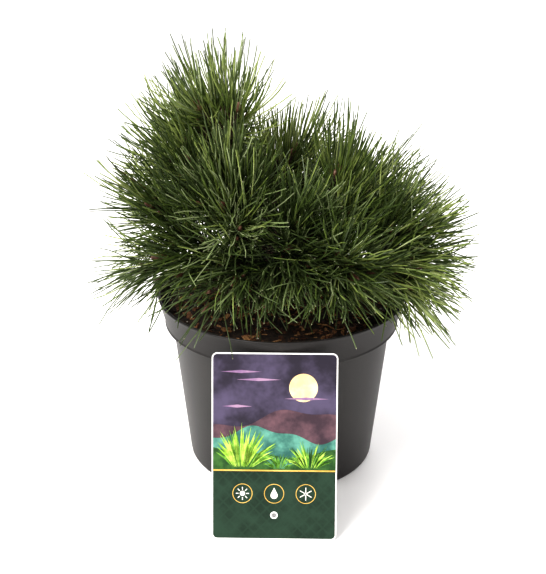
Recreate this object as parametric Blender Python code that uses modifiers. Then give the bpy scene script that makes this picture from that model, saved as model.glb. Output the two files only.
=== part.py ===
"""A young mugo pine in its nursery pot, with the care card that leans on the pot's collar.

The pot is a thin turned shell that a root ball fills. A short leaning trunk stands on the root
ball and carries one tapering bough for each mass of needles. A mass is a stem that goes on from
its bough, the side shoots that break from it by a seeded rule, and slim needle sprays that stand
out all round them. Metres, +Z up, origin at the centre of the pot's flat underside. The front of
the plant faces -Y.
"""

import math
import random
from collections import namedtuple

import bmesh
import bpy
from mathutils import Matrix, Vector

MM = 0.001
CLEARANCE = 0.3 * MM

POT_HEIGHT = 122 * MM
RIM_RADIUS = 85 * MM
COLLAR_HEIGHT = 21 * MM
COLLAR_FOOT_RADIUS = 80 * MM
WALL_TOP_RADIUS = 75.2 * MM
WALL_FOOT_RADIUS = 65 * MM
FOOT_CHAMFER = 3 * MM
WALL = 1.4 * MM
FLOOR = 2 * MM
BEAD = 0.8 * MM
POT_SIDES = 40
MERGE_DISTANCE = 0.05 * MM
DRAIN_HOLES = 8
DRAIN_HOLE_SIDES = 10
DRAIN_HOLE_RADIUS = 4 * MM
DRAIN_CIRCLE_RADIUS = 48 * MM

SOIL_CROWN = POT_HEIGHT - 5 * MM
SOIL_EDGE = POT_HEIGHT - 9 * MM
SOIL_FLAT_RADIUS = 22 * MM
SOIL_SHOULDER_DROP = 1.2 * MM

CARD_WIDTH = 79 * MM
CARD_LENGTH = 120 * MM
CARD_THICKNESS = 0.6 * MM
CARD_CORNER = 3.5 * MM
CARD_CORNER_STEPS = 3
CARD_HOLE_SIDES = 12
CARD_HOLE_RADIUS = 1.7 * MM
CARD_HOLE_RISE = 16 * MM
CARD_OFFSET = -5.3 * MM
CARD_FOOT_REACH = 119 * MM
CARD_SEAT_HEIGHT = 115 * MM
CARD_TURN = math.radians(-1.2)

TRUNK_FOOT = Vector((2 * MM, 0.0, SOIL_CROWN + CLEARANCE))
TRUNK_TIP = Vector((-24 * MM, 3 * MM, 196 * MM))
TRUNK_BOW = 4 * MM
TRUNK_RADIUS = 7.5 * MM
TRUNK_FLARE = 4.5 * MM
TRUNK_FLARE_HEIGHT = 6 * MM
TRUNK_TIP_RADIUS = 3.4 * MM
TRUNK_FLARE_RINGS = (0 * MM, 2 * MM, 5 * MM, 10 * MM)
TRUNK_STEPS = 8
TRUNK_SIDES = 12
LIMB_SIDES = 6
LIMB_POINTS = 5

BOUGH_ROOT_RADIUS = 3.6 * MM
STEM_RADIUS = 2.5 * MM
BOUGH_SHARE = 0.5
END_SHARE = 0.03
BEND = 0.55

# Side shoots leave the stem from SHOOT_FIRST on, over a further SHOOT_RANGE of the limb's curve.
GOLDEN_ANGLE = math.radians(137.508)
SIDE_SHOOTS = 4
SHOOT_TRIALS = 4
SHOOT_FIRST = 0.62
SHOOT_RANGE = 0.24
SHOOT_LENGTH = 28 * MM
SHOOT_LENGTHS = (0.85, 1.15)
SHOOT_SPREAD = math.radians(54)
SHOOT_SPREADS = (0.88, 1.12)
SHOOT_FOLLOW = 0.5
SHOOT_LIFT = 0.25
SHOOT_BENDS = (0.5, 0.3, 0.5)
SHOOT_SPACING = 13 * MM
LIMB_CHECKS = 12
LIMB_CHECK_START = 0.1
CORE_RADIUS = 6 * MM
CORE_START = 0.15
CORE_FOOT = 0.22
CORE_FULLNESS = 0.7
TIP_RADIUS = 1.6 * MM

# A spray leans LEAN_FOOT degrees from its shoot at the foot, and LEAN_FALL less at the tip.
NEEDLE_SEED = 1000
STEM_SPRAYS = 10
SHOOT_SPRAYS = 8
BARE_SHARE = 0.2
LEAN_FOOT = 76
LEAN_FALL = 58
LEAN_CURVE = 1.3
LEAN_VARIES = 8
NEEDLE_LENGTH = 49 * MM
NEEDLE_LENGTHS = (0.88, 1.1)
NEEDLE_SHORTENING = 0.1
NEEDLE_CUTS = (1.0, 1.0, 0.85, 0.85, 0.7, 0.7)
NEEDLE_ROOT_RADIUS = 1.9 * MM
NEEDLE_SIDES = 3
SPRAY_GAP = 2.6 * MM
SPRAY_CHECKS = 6
SPACE_CHECKS = 8
SPACE_MARGIN = 1.2 * MM

# azimuth and heading are turned from +X towards +Y. reach and height place the tip of the mass's
# stem round the pot's axis and above its foot. heading and pitch say which way that tip points.
# root is how far up the trunk the bough leaves it.
Mass = namedtuple("Mass", "name azimuth reach height heading pitch root")
MASSES = [
    Mass("leader", 174, 38 * MM, 240 * MM, 140, 80, None),
    Mass("upper_left", 172, 58 * MM, 218 * MM, 158, 52, 63 * MM),
    Mass("left", 182, 76 * MM, 186 * MM, 182, 26, 35 * MM),
    Mass("low_left", 203, 81 * MM, 158 * MM, 202, 8, 9 * MM),
    Mass("front_left", 233, 58 * MM, 196 * MM, 250, 42, 52 * MM),
    Mass("front_low", 244, 64 * MM, 153 * MM, 250, 4, 24 * MM),
    Mass("front", 273, 59 * MM, 175 * MM, 278, 18, 34 * MM),
    Mass("front_right", 304, 74 * MM, 157 * MM, 302, 8, 16 * MM),
    Mass("right_top", 357, 42 * MM, 184 * MM, 12, 54, 47 * MM),
    Mass("right", 1, 84 * MM, 166 * MM, 2, 26, 27 * MM),
    Mass("low_right", 338, 90 * MM, 153 * MM, 342, 10, 9 * MM),
    Mass("back", 94, 40 * MM, 194 * MM, 98, 62, 61 * MM),
    Mass("back_right", 47, 80 * MM, 170 * MM, 45, 25, 35 * MM),
    Mass("back_left", 132, 76 * MM, 188 * MM, 130, 34, 46 * MM),
    Mass("low_back", 88, 86 * MM, 153 * MM, 90, 10, 17 * MM),
]

# The points of a shoot, each with the radius of the needle-packed core round it.
Shoot = namedtuple("Shoot", "points radii")


def direction(heading: float, pitch: float) -> Vector:
    """The unit vector of a heading and a pitch in degrees."""
    turn, rise = math.radians(heading), math.radians(pitch)
    return Vector((math.cos(turn) * math.cos(rise), math.sin(turn) * math.cos(rise), math.sin(rise)))


def sideways(axis: Vector, turn: float) -> Vector:
    """The unit vector square to axis, turned round it by an angle in radians."""
    reference = Vector((0, 0, 1)) if abs(axis.z) < 0.95 else Vector((1, 0, 0))
    first = axis.cross(reference).normalized()
    return first * math.cos(turn) + axis.cross(first) * math.sin(turn)


def bend(start: Vector, middle: Vector, end: Vector, t: float) -> Vector:
    """The point at share t of a limb's curve, which leaves start towards middle."""
    return start * (1 - t) ** 2 + middle * (2 * t * (1 - t)) + end * t**2


def trunk_point(height: float) -> Vector:
    """The point on the trunk's axis at a height above its foot."""
    share = height / (TRUNK_TIP.z - TRUNK_FOOT.z)
    bow = Vector((TRUNK_BOW * math.sin(math.pi * share), 0, 0))
    return TRUNK_FOOT.lerp(TRUNK_TIP, share) + bow


def trunk_radius(height: float) -> float:
    """The trunk's radius at a height above its foot: an even taper with a flare at the root."""
    share = height / (TRUNK_TIP.z - TRUNK_FOOT.z)
    taper = TRUNK_RADIUS + (TRUNK_TIP_RADIUS - TRUNK_RADIUS) * share
    return taper + TRUNK_FLARE * math.exp(-height / TRUNK_FLARE_HEIGHT)


def limb_curve(mass: Mass) -> tuple[Vector, Vector, Vector]:
    """The three points of the curve that a bough and its mass's stem share."""
    turn = math.radians(mass.azimuth)
    tip = Vector((mass.reach * math.cos(turn), mass.reach * math.sin(turn), mass.height))
    root = TRUNK_TIP if mass.root is None else trunk_point(mass.root)
    middle = tip - direction(mass.heading, mass.pitch) * (tip - root).length * BEND
    return root, middle, tip


def stem_start(mass: Mass) -> float:
    """The share of the limb's curve where the bough ends and the mass's stem begins."""
    return 0.0 if mass.root is None else BOUGH_SHARE


def stretch(mass: Mass, first: float, last: float, count: int) -> list[Vector]:
    """Evenly spaced points on a limb's curve."""
    curve = limb_curve(mass)
    return [bend(*curve, first + (last - first) * i / (count - 1)) for i in range(count)]


def nearest(point: Vector, line: list[Vector]) -> float:
    """The distance from a point to a line of straight stretches."""
    found = []
    for start, end in zip(line, line[1:]):
        along = end - start
        share = (point - start).dot(along) / along.length_squared
        found.append((point - start - along * min(1, max(0, share))).length)
    return min(found)


def bough_line(mass: Mass) -> list[Vector]:
    """The line of a bough from inside the trunk. Its last stretch is short, so that its end lies
    square to the limb."""
    line = stretch(mass, 0.0, BOUGH_SHARE, LIMB_POINTS)
    line.insert(-1, bend(*limb_curve(mass), BOUGH_SHARE - END_SHARE))
    return line


def main_stem(mass: Mass) -> list[Vector]:
    """The line of a mass's stem. Its foot lies square to the limb too, and just clear of the tip
    of the bough or the trunk."""
    start = stem_start(mass)
    line = stretch(mass, start, 1.0, LIMB_POINTS)
    line.insert(1, bend(*limb_curve(mass), start + END_SHARE))
    line[0] = line[0] + (line[1] - line[0]).normalized() * CLEARANCE
    return line


def side_shoot(mass: Mass, index: int, turn: float, draw: random.Random) -> list[Vector]:
    """The line of one side shoot, which leaves the stem at an angle and then turns up with it."""
    share = SHOOT_FIRST + SHOOT_RANGE * index / (SIDE_SHOOTS - 1)
    root, ahead = stretch(mass, share, share + 0.02, 2)
    axis = (ahead - root).normalized()
    spread = SHOOT_SPREAD * draw.uniform(*SHOOT_SPREADS)
    leaving = axis * math.cos(spread) + sideways(axis, turn) * math.sin(spread)
    ending = (leaving + axis * SHOOT_FOLLOW + Vector((0, 0, SHOOT_LIFT))).normalized()
    length = SHOOT_LENGTH * draw.uniform(*SHOOT_LENGTHS)
    to_elbow, beyond, to_tip = (length * share for share in SHOOT_BENDS)
    elbow = root + leaving * to_elbow
    return [root, elbow, elbow + ending * beyond, elbow + ending * to_tip]


def droops(line: list[Vector]) -> bool:
    """Whether a side shoot runs into the soil, or hangs down outside the pot's rim."""
    for point in line:
        over_rim = math.hypot(point.x, point.y) > RIM_RADIUS
        if point.z < (POT_HEIGHT if over_rim else SOIL_CROWN) + SHOOT_SPACING:
            return True
    return False


def grow_shoots() -> dict[str, list[list[Vector]]]:
    """The stem and side shoots of every mass. A side shoot that would droop, or crowd a shoot of
    another mass, is turned on round the stem, and is skipped if that doesn't help."""
    limbs = {mass.name: stretch(mass, LIMB_CHECK_START, 1.0, LIMB_CHECKS) for mass in MASSES}
    grown = {mass.name: [main_stem(mass)] for mass in MASSES}
    for number, mass in enumerate(MASSES):
        draw = random.Random(number)
        turn = draw.uniform(0, 2 * math.pi)
        others = [limb for name, limb in limbs.items() if name != mass.name]
        others += [shoot for name in grown if name != mass.name for shoot in grown[name][1:]]
        for index in range(SIDE_SHOOTS):
            for _ in range(SHOOT_TRIALS):
                turn += GOLDEN_ANGLE
                line = side_shoot(mass, index, turn, draw)
                own = grown[mass.name][1:]
                room = min(nearest(point, other) for point in line[1:] for other in others)
                spread = min((nearest(line[-1], other) for other in own), default=SHOOT_SPACING)
                if min(room, spread) >= SHOOT_SPACING and not droops(line):
                    grown[mass.name].append(line)
                    break
    return grown


def obstacles() -> list[tuple[list[Vector], float]]:
    """The trunk and boughs as lines with a radius, which needles keep off."""
    height = TRUNK_TIP.z - TRUNK_FOOT.z
    trunk = [trunk_point(height * i / TRUNK_STEPS) for i in range(TRUNK_STEPS + 1)]
    boughs = [bough_line(mass) for mass in MASSES if mass.root is not None]
    return [(trunk, TRUNK_RADIUS)] + [(line, BOUGH_ROOT_RADIUS) for line in boughs]


def clear_of_pot(point: Vector) -> bool:
    """Whether a point keeps clear of the pot, the soil in it and the care card."""
    margin = 2 * SPACE_MARGIN
    radius = math.hypot(point.x, point.y)
    if radius < RIM_RADIUS + margin and point.z < SOIL_CROWN + margin:
        return False
    over_rim = COLLAR_FOOT_RADIUS - margin < radius < RIM_RADIUS + margin
    if over_rim and point.z < POT_HEIGHT + margin:
        return False
    beside_card = abs(point.x - CARD_OFFSET) < CARD_WIDTH / 2 + margin and point.y < 0
    return not (beside_card and point.z < CARD_SEAT_HEIGHT + margin)


def room_at(point: Vector, name: str, grown: dict, limbs: list) -> float:
    """How far a point is inside a mass's own space, counted to its border or to the next limb."""
    own = min(nearest(point, line) for line in grown[name])
    foreign = min(nearest(point, line) for other in grown if other != name for line in grown[other])
    limb = min(nearest(point, line) - radius for line, radius in limbs)
    return min((foreign - own) / 2, limb)


def core_of(line: list[Vector], name: str, grown: dict, limbs: list) -> Shoot:
    """A shoot's line with the radius of its core, which swells where there is room for it."""
    lengths = [(end - start).length for start, end in zip(line, line[1:])]
    radii = [STEM_RADIUS]
    for i, point in enumerate(line[1:-1], 1):
        share = sum(lengths[:i]) / sum(lengths)
        part = CORE_FOOT + (1 - CORE_FOOT) * share
        swell = math.sin(math.pi * part) ** CORE_FULLNESS if share > CORE_START else 0
        foreign = min(nearest(point, other) for n in grown if n != name for other in grown[n])
        limb = min(nearest(point, other) - radius for other, radius in limbs)
        room = min(foreign / 2, limb) - SPACE_MARGIN
        radii.append(max(STEM_RADIUS, min(CORE_RADIUS * swell, room)))
    return Shoot(line, radii + [TIP_RADIUS])


def crosses(root: Vector, tip: Vector, found: list[tuple[Vector, Vector]]) -> bool:
    """Whether the outer part of a spray would run into a spray that is already there."""
    points = [root.lerp(tip, step / SPRAY_CHECKS) for step in range(2, SPRAY_CHECKS + 1)]
    return any(nearest(point, list(other)) < SPRAY_GAP for point in points for other in found)


def needle_lines(mass: Mass, grown: dict, limbs: list) -> list[tuple[Vector, Vector]]:
    """Root and tip of each needle spray of a mass. A spray that would leave its mass's space is
    tried again further round the shoot and then shorter, and after that it is skipped."""
    draw = random.Random(NEEDLE_SEED + MASSES.index(mass))
    found = []
    for number, line in enumerate(grown[mass.name]):
        count = SHOOT_SPRAYS if number else STEM_SPRAYS
        turn = draw.uniform(0, 2 * math.pi)
        for i in range(count):
            share = BARE_SHARE + (1 - BARE_SHARE) * (i + 0.5) / count
            root, axis = point_along(line, share)
            varied = draw.uniform(-LEAN_VARIES, LEAN_VARIES)
            lean = math.radians(LEAN_FOOT - LEAN_FALL * share**LEAN_CURVE + varied)
            length = NEEDLE_LENGTH * draw.uniform(*NEEDLE_LENGTHS) * (1 - NEEDLE_SHORTENING * share)
            for cut in NEEDLE_CUTS:
                turn += GOLDEN_ANGLE
                way = axis * math.cos(lean) + sideways(axis, turn) * math.sin(lean)
                tip = root + way * length * cut
                points = [root.lerp(tip, step / SPACE_CHECKS) for step in range(2, SPACE_CHECKS + 1)]
                inside = all(fits(point, mass.name, grown, limbs) for point in points)
                if inside and not crosses(root, tip, found):
                    found.append((root, tip))
                    break
    return found


def fits(point: Vector, name: str, grown: dict, limbs: list) -> bool:
    """Whether a point of a needle stays in its mass's space and off everything else."""
    if not clear_of_pot(point):
        return False
    return room_at(point, name, grown, limbs) > SPACE_MARGIN


def point_along(line: list[Vector], share: float) -> tuple[Vector, Vector]:
    """The point at a share of a line's length, and the line's direction there."""
    lengths = [(end - start).length for start, end in zip(line, line[1:])]
    left = share * sum(lengths)
    for start, end, length in zip(line, line[1:], lengths):
        if left <= length or end is line[-1]:
            return start.lerp(end, left / length), (end - start).normalized()
        left -= length


def clear_scene() -> None:
    """Removes what the scene holds."""
    for obj in list(bpy.data.objects):
        bpy.data.objects.remove(obj, do_unlink=True)


def new_collection(name: str) -> bpy.types.Collection:
    """A collection linked to the scene."""
    made = bpy.data.collections.new(name)
    bpy.context.scene.collection.children.link(made)
    return made


def make_material(name: str, colour: tuple, roughness: float) -> bpy.types.Material:
    """A Principled material with one colour."""
    made = bpy.data.materials.new(name)
    made.use_nodes = True
    shader = made.node_tree.nodes["Principled BSDF"]
    shader.inputs["Base Color"].default_value = (*colour, 1)
    shader.inputs["Roughness"].default_value = roughness
    shader.inputs["Metallic"].default_value = 0.0
    return made


def add_object(name: str, data, collection, material=None) -> bpy.types.Object:
    """Links an object made from a mesh or a curve."""
    obj = bpy.data.objects.new(name, data)
    if material:
        data.materials.append(material)
    collection.objects.link(obj)
    return obj


def tube(name: str, points: list[Vector], radii: list[float], sides: int, collection):
    """A round limb along points, with a radius at each, as one closed mesh."""
    curve = bpy.data.curves.new(name, "CURVE")
    curve.dimensions = "3D"
    curve.bevel_depth = 1.0
    curve.bevel_resolution = (sides - 4) // 2
    curve.use_fill_caps = True
    spline = curve.splines.new("POLY")
    spline.points.add(len(points) - 1)
    for spot, point, radius in zip(spline.points, points, radii):
        spot.co = (*point, 1)
        spot.radius = radius
    guide = add_object(name + "_guide", curve, collection)
    bpy.context.view_layer.update()
    graph = bpy.context.evaluated_depsgraph_get()
    mesh = bpy.data.meshes.new_from_object(guide.evaluated_get(graph))
    bpy.data.objects.remove(guide, do_unlink=True)
    shape = bmesh.new()
    shape.from_mesh(mesh)
    bmesh.ops.remove_doubles(shape, verts=shape.verts, dist=0.005 * MM)
    bmesh.ops.recalc_face_normals(shape, faces=shape.faces)
    shape.to_mesh(mesh)
    shape.free()
    mesh.name = name
    return add_object(name, mesh, collection)


def turned(name: str, profile: list[tuple[float, float]], collection, material):
    """A round solid from its profile of radius and height, which ends on the axis."""
    mesh = bpy.data.meshes.new(name)
    mesh.from_pydata([(r, 0, z) for r, z in profile], [(i, i + 1) for i in range(len(profile) - 1)], [])
    obj = add_object(name, mesh, collection, material)
    screw = obj.modifiers.new("turn", "SCREW")
    screw.steps = screw.render_steps = POT_SIDES
    screw.use_merge_vertices = True
    screw.merge_threshold = MERGE_DISTANCE
    return obj


def joined(base: bpy.types.Object, others: bpy.types.Collection, operation: str, solver: str) -> None:
    """Applies one Boolean of a whole collection to base, then removes the collection."""
    boolean = base.modifiers.new("join", "BOOLEAN")
    boolean.operation = operation
    boolean.solver = solver
    boolean.operand_type = "COLLECTION"
    boolean.collection = others
    graph = bpy.context.evaluated_depsgraph_get()
    mesh = bpy.data.meshes.new_from_object(base.evaluated_get(graph))
    base.modifiers.clear()
    base.data = mesh
    for obj in list(others.objects):
        bpy.data.objects.remove(obj, do_unlink=True)
    bpy.data.collections.remove(others)


def keep_outer_shell(obj: bpy.types.Object) -> None:
    """Keeps the largest shell of a mesh. It fills a hollow that a union has sealed, and drops a
    loose scrap."""
    shape = bmesh.new()
    shape.from_mesh(obj.data)
    waiting = set(shape.verts)
    shells = []
    while waiting:
        shell = set()
        edge = {next(iter(waiting))}
        while edge:
            shell |= edge
            edge = {link.other_vert(vert) for vert in edge for link in vert.link_edges} - shell
        shells.append(shell)
        waiting -= shell
    largest = max(shells, key=len)
    bmesh.ops.delete(shape, geom=[vert for vert in shape.verts if vert not in largest], context="VERTS")
    shape.to_mesh(obj.data)
    shape.free()


def collar_radius(height: float) -> float:
    """The radius of the collar's sloping outer face at a height above the pot's underside."""
    foot = POT_HEIGHT - COLLAR_HEIGHT + 2 * BEAD
    head = POT_HEIGHT - 3 * BEAD
    share = (height - foot) / (head - foot)
    return COLLAR_FOOT_RADIUS + (RIM_RADIUS - BEAD / 2 - COLLAR_FOOT_RADIUS) * share


def build_pot(collection, material) -> None:
    """The nursery pot: a tapered wall, a collar that steps out round the rim and a drained floor."""
    collar_foot = POT_HEIGHT - COLLAR_HEIGHT
    profile = [
        (0, FLOOR),
        (WALL_FOOT_RADIUS - WALL - FOOT_CHAMFER, FLOOR),
        (WALL_FOOT_RADIUS - WALL, FLOOR + FOOT_CHAMFER),
        (WALL_TOP_RADIUS - WALL, collar_foot),
        (COLLAR_FOOT_RADIUS - WALL, collar_foot + WALL),
        (RIM_RADIUS - WALL - BEAD, POT_HEIGHT - BEAD),
        (RIM_RADIUS - WALL, POT_HEIGHT),
        (RIM_RADIUS - BEAD / 2, POT_HEIGHT),
        (RIM_RADIUS, POT_HEIGHT - BEAD),
        (RIM_RADIUS - BEAD / 2, POT_HEIGHT - 3 * BEAD),
        (COLLAR_FOOT_RADIUS, collar_foot + 2 * BEAD),
        (COLLAR_FOOT_RADIUS + BEAD / 2, collar_foot + BEAD),
        (COLLAR_FOOT_RADIUS, collar_foot),
        (WALL_TOP_RADIUS, collar_foot - BEAD),
        (WALL_FOOT_RADIUS, FOOT_CHAMFER),
        (WALL_FOOT_RADIUS - FOOT_CHAMFER / 2, 0),
        (0, 0),
    ]
    pot = turned("pot", profile, collection, material)
    holes = new_collection("drain_holes")
    for k in range(DRAIN_HOLES):
        turn = 2 * math.pi * (k + 0.5) / DRAIN_HOLES
        place = (DRAIN_CIRCLE_RADIUS * math.cos(turn), DRAIN_CIRCLE_RADIUS * math.sin(turn), FLOOR / 2)
        shape = bmesh.new()
        bmesh.ops.create_cone(
            shape, cap_ends=True, segments=DRAIN_HOLE_SIDES, radius1=DRAIN_HOLE_RADIUS,
            radius2=DRAIN_HOLE_RADIUS, depth=3 * FLOOR, matrix=Matrix.Translation(place),
        )
        mesh = bpy.data.meshes.new("drain_hole")
        shape.to_mesh(mesh)
        shape.free()
        add_object("drain_hole", mesh, holes)
    joined(pot, holes, "DIFFERENCE", "EXACT")


def build_root_ball(collection, material) -> None:
    """The potting soil with the roots in it, which fills the pot and is slightly domed."""
    gap = 2 * CLEARANCE
    inner_foot = WALL_FOOT_RADIUS - WALL - gap
    inner_top = WALL_TOP_RADIUS - WALL - gap
    collar_foot = POT_HEIGHT - COLLAR_HEIGHT
    edge_share = (SOIL_EDGE - collar_foot) / COLLAR_HEIGHT
    edge = COLLAR_FOOT_RADIUS + (RIM_RADIUS - COLLAR_FOOT_RADIUS) * edge_share - WALL - BEAD - gap
    profile = [
        (0, SOIL_CROWN),
        (SOIL_FLAT_RADIUS, SOIL_CROWN),
        ((SOIL_FLAT_RADIUS + edge) / 2, SOIL_CROWN - SOIL_SHOULDER_DROP),
        (edge, SOIL_EDGE),
        (COLLAR_FOOT_RADIUS - WALL - BEAD - gap, collar_foot + WALL + gap),
        (inner_top, collar_foot - BEAD + gap),
        (inner_foot, FLOOR + FOOT_CHAMFER + gap),
        (inner_foot - FOOT_CHAMFER, FLOOR + CLEARANCE),
        (0, FLOOR + CLEARANCE),
    ]
    turned("root_ball", profile, collection, material)


def rounded_card_outline(curve: bpy.types.Curve) -> None:
    """Adds the card's rounded outline and its round hole to a flat curve."""
    half = CARD_WIDTH / 2 - CARD_CORNER
    corners = [
        (half, CARD_CORNER, -90), (half, CARD_LENGTH - CARD_CORNER, 0),
        (-half, CARD_LENGTH - CARD_CORNER, 90), (-half, CARD_CORNER, 180),
    ]
    outline = []
    for x, y, first in corners:
        for step in range(CARD_CORNER_STEPS + 1):
            turn = math.radians(first + 90 / CARD_CORNER_STEPS * step)
            outline.append((x + CARD_CORNER * math.cos(turn), y + CARD_CORNER * math.sin(turn)))
    turns = [2 * math.pi * k / CARD_HOLE_SIDES for k in range(CARD_HOLE_SIDES)]
    hole = [
        (CARD_HOLE_RADIUS * math.cos(t), CARD_HOLE_RISE + CARD_HOLE_RADIUS * math.sin(t)) for t in turns
    ]
    for points in (outline, hole):
        spline = curve.splines.new("POLY")
        spline.points.add(len(points) - 1)
        spline.use_cyclic_u = True
        for spot, (x, y) in zip(spline.points, points):
            spot.co = (x, y, 0, 1)


def card_lean() -> float:
    """The card's angle from the floor: its foot stands in front of the pot, and the top of its
    back lies on the collar."""
    reach = CARD_FOOT_REACH - collar_radius(CARD_SEAT_HEIGHT) - CLEARANCE - CARD_THICKNESS
    return math.acos(reach / CARD_LENGTH)


def build_card(collection, material) -> None:
    """The printed care card, which stands on the floor and leans on the collar."""
    curve = bpy.data.curves.new("care_card", "CURVE")
    curve.dimensions = "2D"
    curve.fill_mode = "BOTH"
    curve.extrude = CARD_THICKNESS / 2
    rounded_card_outline(curve)
    card = add_object("care_card", curve, collection, material)
    lean = card_lean()
    rise = CARD_THICKNESS / 2 * math.cos(lean)
    card.matrix_world = (
        Matrix.Translation((CARD_OFFSET, -CARD_FOOT_REACH, rise))
        @ Matrix.Rotation(CARD_TURN, 4, "Z")
        @ Matrix.Rotation(lean, 4, "X")
    )


def trunk_tube(name: str, grow: float, collection) -> bpy.types.Object:
    """The trunk, or the trunk grown by a little all round as a cutter for the boughs' roots."""
    height = TRUNK_TIP.z - TRUNK_FOOT.z
    heights = [*TRUNK_FLARE_RINGS] + [height * k / TRUNK_STEPS for k in range(2, TRUNK_STEPS + 1)]
    points = [trunk_point(h) for h in heights]
    points[1].x = points[0].x
    points[1].y = points[0].y
    return tube(name, points, [trunk_radius(h) + grow for h in heights], TRUNK_SIDES, collection)


def build_limbs(collection, material) -> None:
    """The trunk, and one bough for each mass but the leader, cut clear of the trunk."""
    trunk = trunk_tube("trunk", 0.0, collection)
    trunk.data.materials.append(material)
    for mass in MASSES:
        if mass.root is None:
            continue
        points = bough_line(mass)
        last = len(points) - 1
        radii = [BOUGH_ROOT_RADIUS + (STEM_RADIUS - BOUGH_ROOT_RADIUS) * k / last for k in range(last + 1)]
        bough = tube("bough_" + mass.name, points, radii, LIMB_SIDES, collection)
        bough.data.materials.append(material)
        cutters = new_collection("bough_cutters")
        trunk_tube("trunk_cutter", CLEARANCE, cutters)
        joined(bough, cutters, "DIFFERENCE", "EXACT")


def needle_spray(root: Vector, tip: Vector, collection) -> None:
    """One slim three-sided needle spray from root to tip."""
    along = tip - root
    shape = bmesh.new()
    turn = along.to_track_quat("Z", "Y").to_matrix().to_4x4()
    bmesh.ops.create_cone(
        shape, cap_ends=True, segments=NEEDLE_SIDES, radius1=NEEDLE_ROOT_RADIUS, radius2=0.0,
        depth=along.length, matrix=Matrix.Translation((root + tip) / 2) @ turn,
    )
    bmesh.ops.remove_doubles(shape, verts=shape.verts, dist=0.01 * MM)
    mesh = bpy.data.meshes.new("spray")
    shape.to_mesh(mesh)
    shape.free()
    add_object("spray", mesh, collection)


def build_masses(collection, material) -> None:
    """Every mass: its stem, side shoots and needle sprays, joined to one solid."""
    grown = grow_shoots()
    limbs = obstacles()
    for mass in MASSES:
        shoots = [core_of(line, mass.name, grown, limbs) for line in grown[mass.name]]
        base = tube("needles_" + mass.name, shoots[0].points, shoots[0].radii, LIMB_SIDES, collection)
        others = new_collection("sprays")
        for shoot in shoots[1:]:
            tube("shoot", shoot.points, shoot.radii, LIMB_SIDES, others)
        for root, tip in needle_lines(mass, grown, limbs):
            needle_spray(root, tip, others)
        joined(base, others, "UNION", "MANIFOLD")
        keep_outer_shell(base)
        base.data.materials.clear()
        base.data.materials.append(material)


def main() -> None:
    """Builds the pot, the root ball, the card, the limbs and the masses of needles."""
    clear_scene()
    plant = new_collection("mugo_pine")
    build_pot(plant, make_material("black_plastic", (0.045, 0.044, 0.046), 0.5))
    build_root_ball(plant, make_material("potting_soil", (0.05, 0.032, 0.022), 0.95))
    build_card(plant, make_material("printed_card", (0.09, 0.16, 0.10), 0.35))
    build_limbs(plant, make_material("bark", (0.12, 0.07, 0.045), 0.9))
    build_masses(plant, make_material("needles", (0.07, 0.12, 0.03), 0.5))


if __name__ == "__main__":
    main()
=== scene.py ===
"""The looks of a young mugo pine in its nursery pot.

The trunk, the boughs and the shoots follow the rule and the seeds that the solids were grown by.
Here the rule is carried on to finer twigs and to single needles in pairs. The pot, the potting
soil and the care card are modelled round the same sizes. Metres, +Z up, front towards -Y.
"""

import logging
import math
import random
from dataclasses import dataclass, field
from enum import Enum
from typing import Callable, NamedTuple, Sequence

import bmesh
import bpy
import numpy as np
from bmesh.types import BMesh
from bpy.types import Material, Mesh, NodeSocket, Object
from mathutils import Matrix, Vector, noise


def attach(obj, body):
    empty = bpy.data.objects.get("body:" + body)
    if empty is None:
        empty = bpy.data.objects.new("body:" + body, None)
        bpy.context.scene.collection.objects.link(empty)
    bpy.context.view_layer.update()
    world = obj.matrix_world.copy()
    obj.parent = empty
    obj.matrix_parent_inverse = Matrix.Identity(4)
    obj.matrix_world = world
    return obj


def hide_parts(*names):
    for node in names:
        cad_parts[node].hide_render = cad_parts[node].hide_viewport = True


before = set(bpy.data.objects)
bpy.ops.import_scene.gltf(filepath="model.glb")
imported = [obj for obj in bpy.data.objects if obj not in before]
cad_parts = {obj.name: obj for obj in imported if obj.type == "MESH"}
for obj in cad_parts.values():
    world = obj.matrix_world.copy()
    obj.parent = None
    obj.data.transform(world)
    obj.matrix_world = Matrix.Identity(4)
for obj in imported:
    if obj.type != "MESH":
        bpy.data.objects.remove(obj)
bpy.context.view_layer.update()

LOG = logging.getLogger("mugo_pine")
MM = 0.001
CLEARANCE = 0.3 * MM
GOLDEN_ANGLE = math.radians(137.508)
Colour = tuple[float, float, float]
Pair = tuple[float, float]


class Slot(Enum):
    """The record's material slots."""

    POT = "pot_plastic"
    SOIL = "potting_soil"
    CARD = "printed_card"
    BARK = "bark"
    NEEDLES = "needles"


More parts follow.
